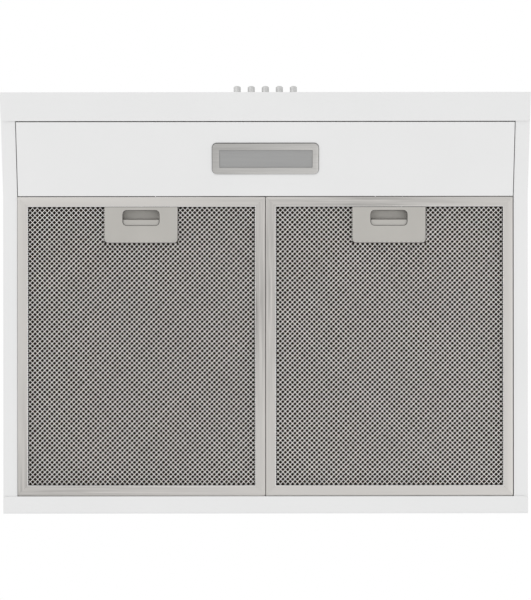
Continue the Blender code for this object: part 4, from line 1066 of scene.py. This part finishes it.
def make_latch_spring(side):
    """The coil spring behind a latch slider, with closed ends."""
    node = "latch_spring_" + side
    low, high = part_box(node)
    middle = (low + high) / 2
    thick = SPRING_WIRE / 2
    radius = (high.x - low.x) / 2 - thick
    length = high.y - low.y
    steps = SPRING_TURNS * SPRING_STEPS
    path = []
    for i in range(steps + 1):
        turn = i / SPRING_STEPS
        closed = min(turn, 1) + max(turn - (SPRING_TURNS - 1), 0)
        open_part = min(max(turn - 1, 0), SPRING_TURNS - 2) / (SPRING_TURNS - 2)
        y = low.y + thick + closed * SPRING_WIRE + open_part * (length - 2 * thick - 2 * SPRING_WIRE)
        angle = 2 * math.pi * turn
        path.append(Vector((middle.x + radius * math.cos(angle), y, middle.z + radius * math.sin(angle))))
    sides = SPRING_SIDES
    points = []
    for i, place in enumerate(path):
        along = (path[min(i + 1, steps)] - path[max(i - 1, 0)]).normalized()
        out = Vector((place.x - middle.x, 0, place.z - middle.z)).normalized()
        across = along.cross(out).normalized()
        out = across.cross(along)
        for k in range(sides):
            angle = 2 * math.pi * k / sides
            points.append(place + thick * 0.98 * (math.cos(angle) * out + math.sin(angle) * across))
    faces = []
    for i in range(steps):
        for k in range(sides):
            here = i * sides
            faces.append([here + k, here + (k + 1) % sides, here + sides + (k + 1) % sides, here + sides + k])
    faces += [list(range(sides))[::-1], [steps * sides + k for k in range(sides)]]
    mesh = merged(node + "_coil", [(points, faces, [0] * len(faces))])
    piece = add_piece(node + "_coil", mesh, "steel", [node])
    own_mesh(piece)


def make_inside():
    """The rest of the works: their edges are rounded by an amount that suits each material."""
    edges = {
        "outlet_collar": 0.0004,
        "damper_flap_front": 0.0002,
        "damper_flap_rear": 0.0002,
        "damper_pin": 0.0003,
        "cable_grommet": 0.0006,
        "fan_housing": 0.0005,
        "fan_housing_cover": 0.0003,
        "inlet_guard": 0.0004,
        "impeller": 0.0002,
        "impeller_nut": 0.0004,
        "motor": 0.0008,
        "motor_plate": 0.0004,
        "motor_capacitor": 0.0005,
        "capacitor_clip": 0.0002,
        "terminal_box": 0.0005,
        "terminal_box_cover": 0.0006,
        "terminal_block": 0.0004,
        "lamp_housing": 0.0004,
        "led_driver": 0.0003,
        "switch_block": 0.0005,
        "switch_bracket": 0.0002,
        "filter_centre_rail": 0.00015,
    }
    for node, edge in edges.items():
        softened(node, edge)
    for side in ("left", "right"):
        make_latch_spring(side)


# Staging


def make_camera():
    camera = bpy.data.objects.new("camera", bpy.data.cameras.new("camera"))
    camera.data.lens = FOCAL_LENGTH
    camera.data.sensor_fit = "VERTICAL"
    camera.data.sensor_height = SENSOR
    camera.data.clip_end = 100
    camera.location = CAMERA_PLACE
    camera.rotation_euler = (math.pi, 0, CAMERA_ROLL)
    bpy.context.scene.collection.objects.link(camera)
    bpy.context.scene.camera = camera


def area_light(name, place, target, size, watts):
    light = bpy.data.lights.new(name, "AREA")
    light.shape = "SQUARE"
    light.size = size
    light.energy = watts
    obj = bpy.data.objects.new(name, light)
    obj.location = place
    obj.rotation_euler = (Vector(target) - Vector(place)).to_track_quat("-Z", "Y").to_euler()
    bpy.context.scene.collection.objects.link(obj)


def make_stage():
    world = bpy.data.worlds.new("studio")
    bpy.context.scene.world = world
    world.use_nodes = True
    background = world.node_tree.nodes["Background"]
    background.inputs["Color"].default_value = (1, 1, 1, 1)
    background.inputs["Strength"].default_value = 1.0
    mesh = bpy.data.meshes.new("floor")
    bm = bmesh.new()
    bmesh.ops.create_grid(bm, x_segments=2, y_segments=2, size=FLOOR_SIZE / 2)
    bm.to_mesh(mesh)
    bm.free()
    floor = bpy.data.objects.new("floor", mesh)
    floor.location.z = FLOOR_Z
    mesh.materials.append(floor_material())
    bpy.context.scene.collection.objects.link(floor)
    for name, values in LIGHTS.items():
        area_light(name, *values)


bpy.context.scene.view_settings.view_transform = "Standard"
make_camera()
make_stage()

for entry in frame["record"]["subparts"]:
    node = frame["nodes"][entry["node"]]
    node.data.materials.clear()
    blackened = entry["node"].startswith("filter_catch_")
    node.data.materials.append(FINISHES["spring_steel" if blackened else entry["material_slot"]])

for index, filter_side in enumerate(("left", "right")):
    make_filter_frame(filter_side)
    make_filter_mesh(filter_side, 10 * index)
make_bezel()
make_lens()
make_handles()
make_panels()
make_inside()
for name in frame["nodes"]:
    if name.startswith("button_"):
        make_button(name)
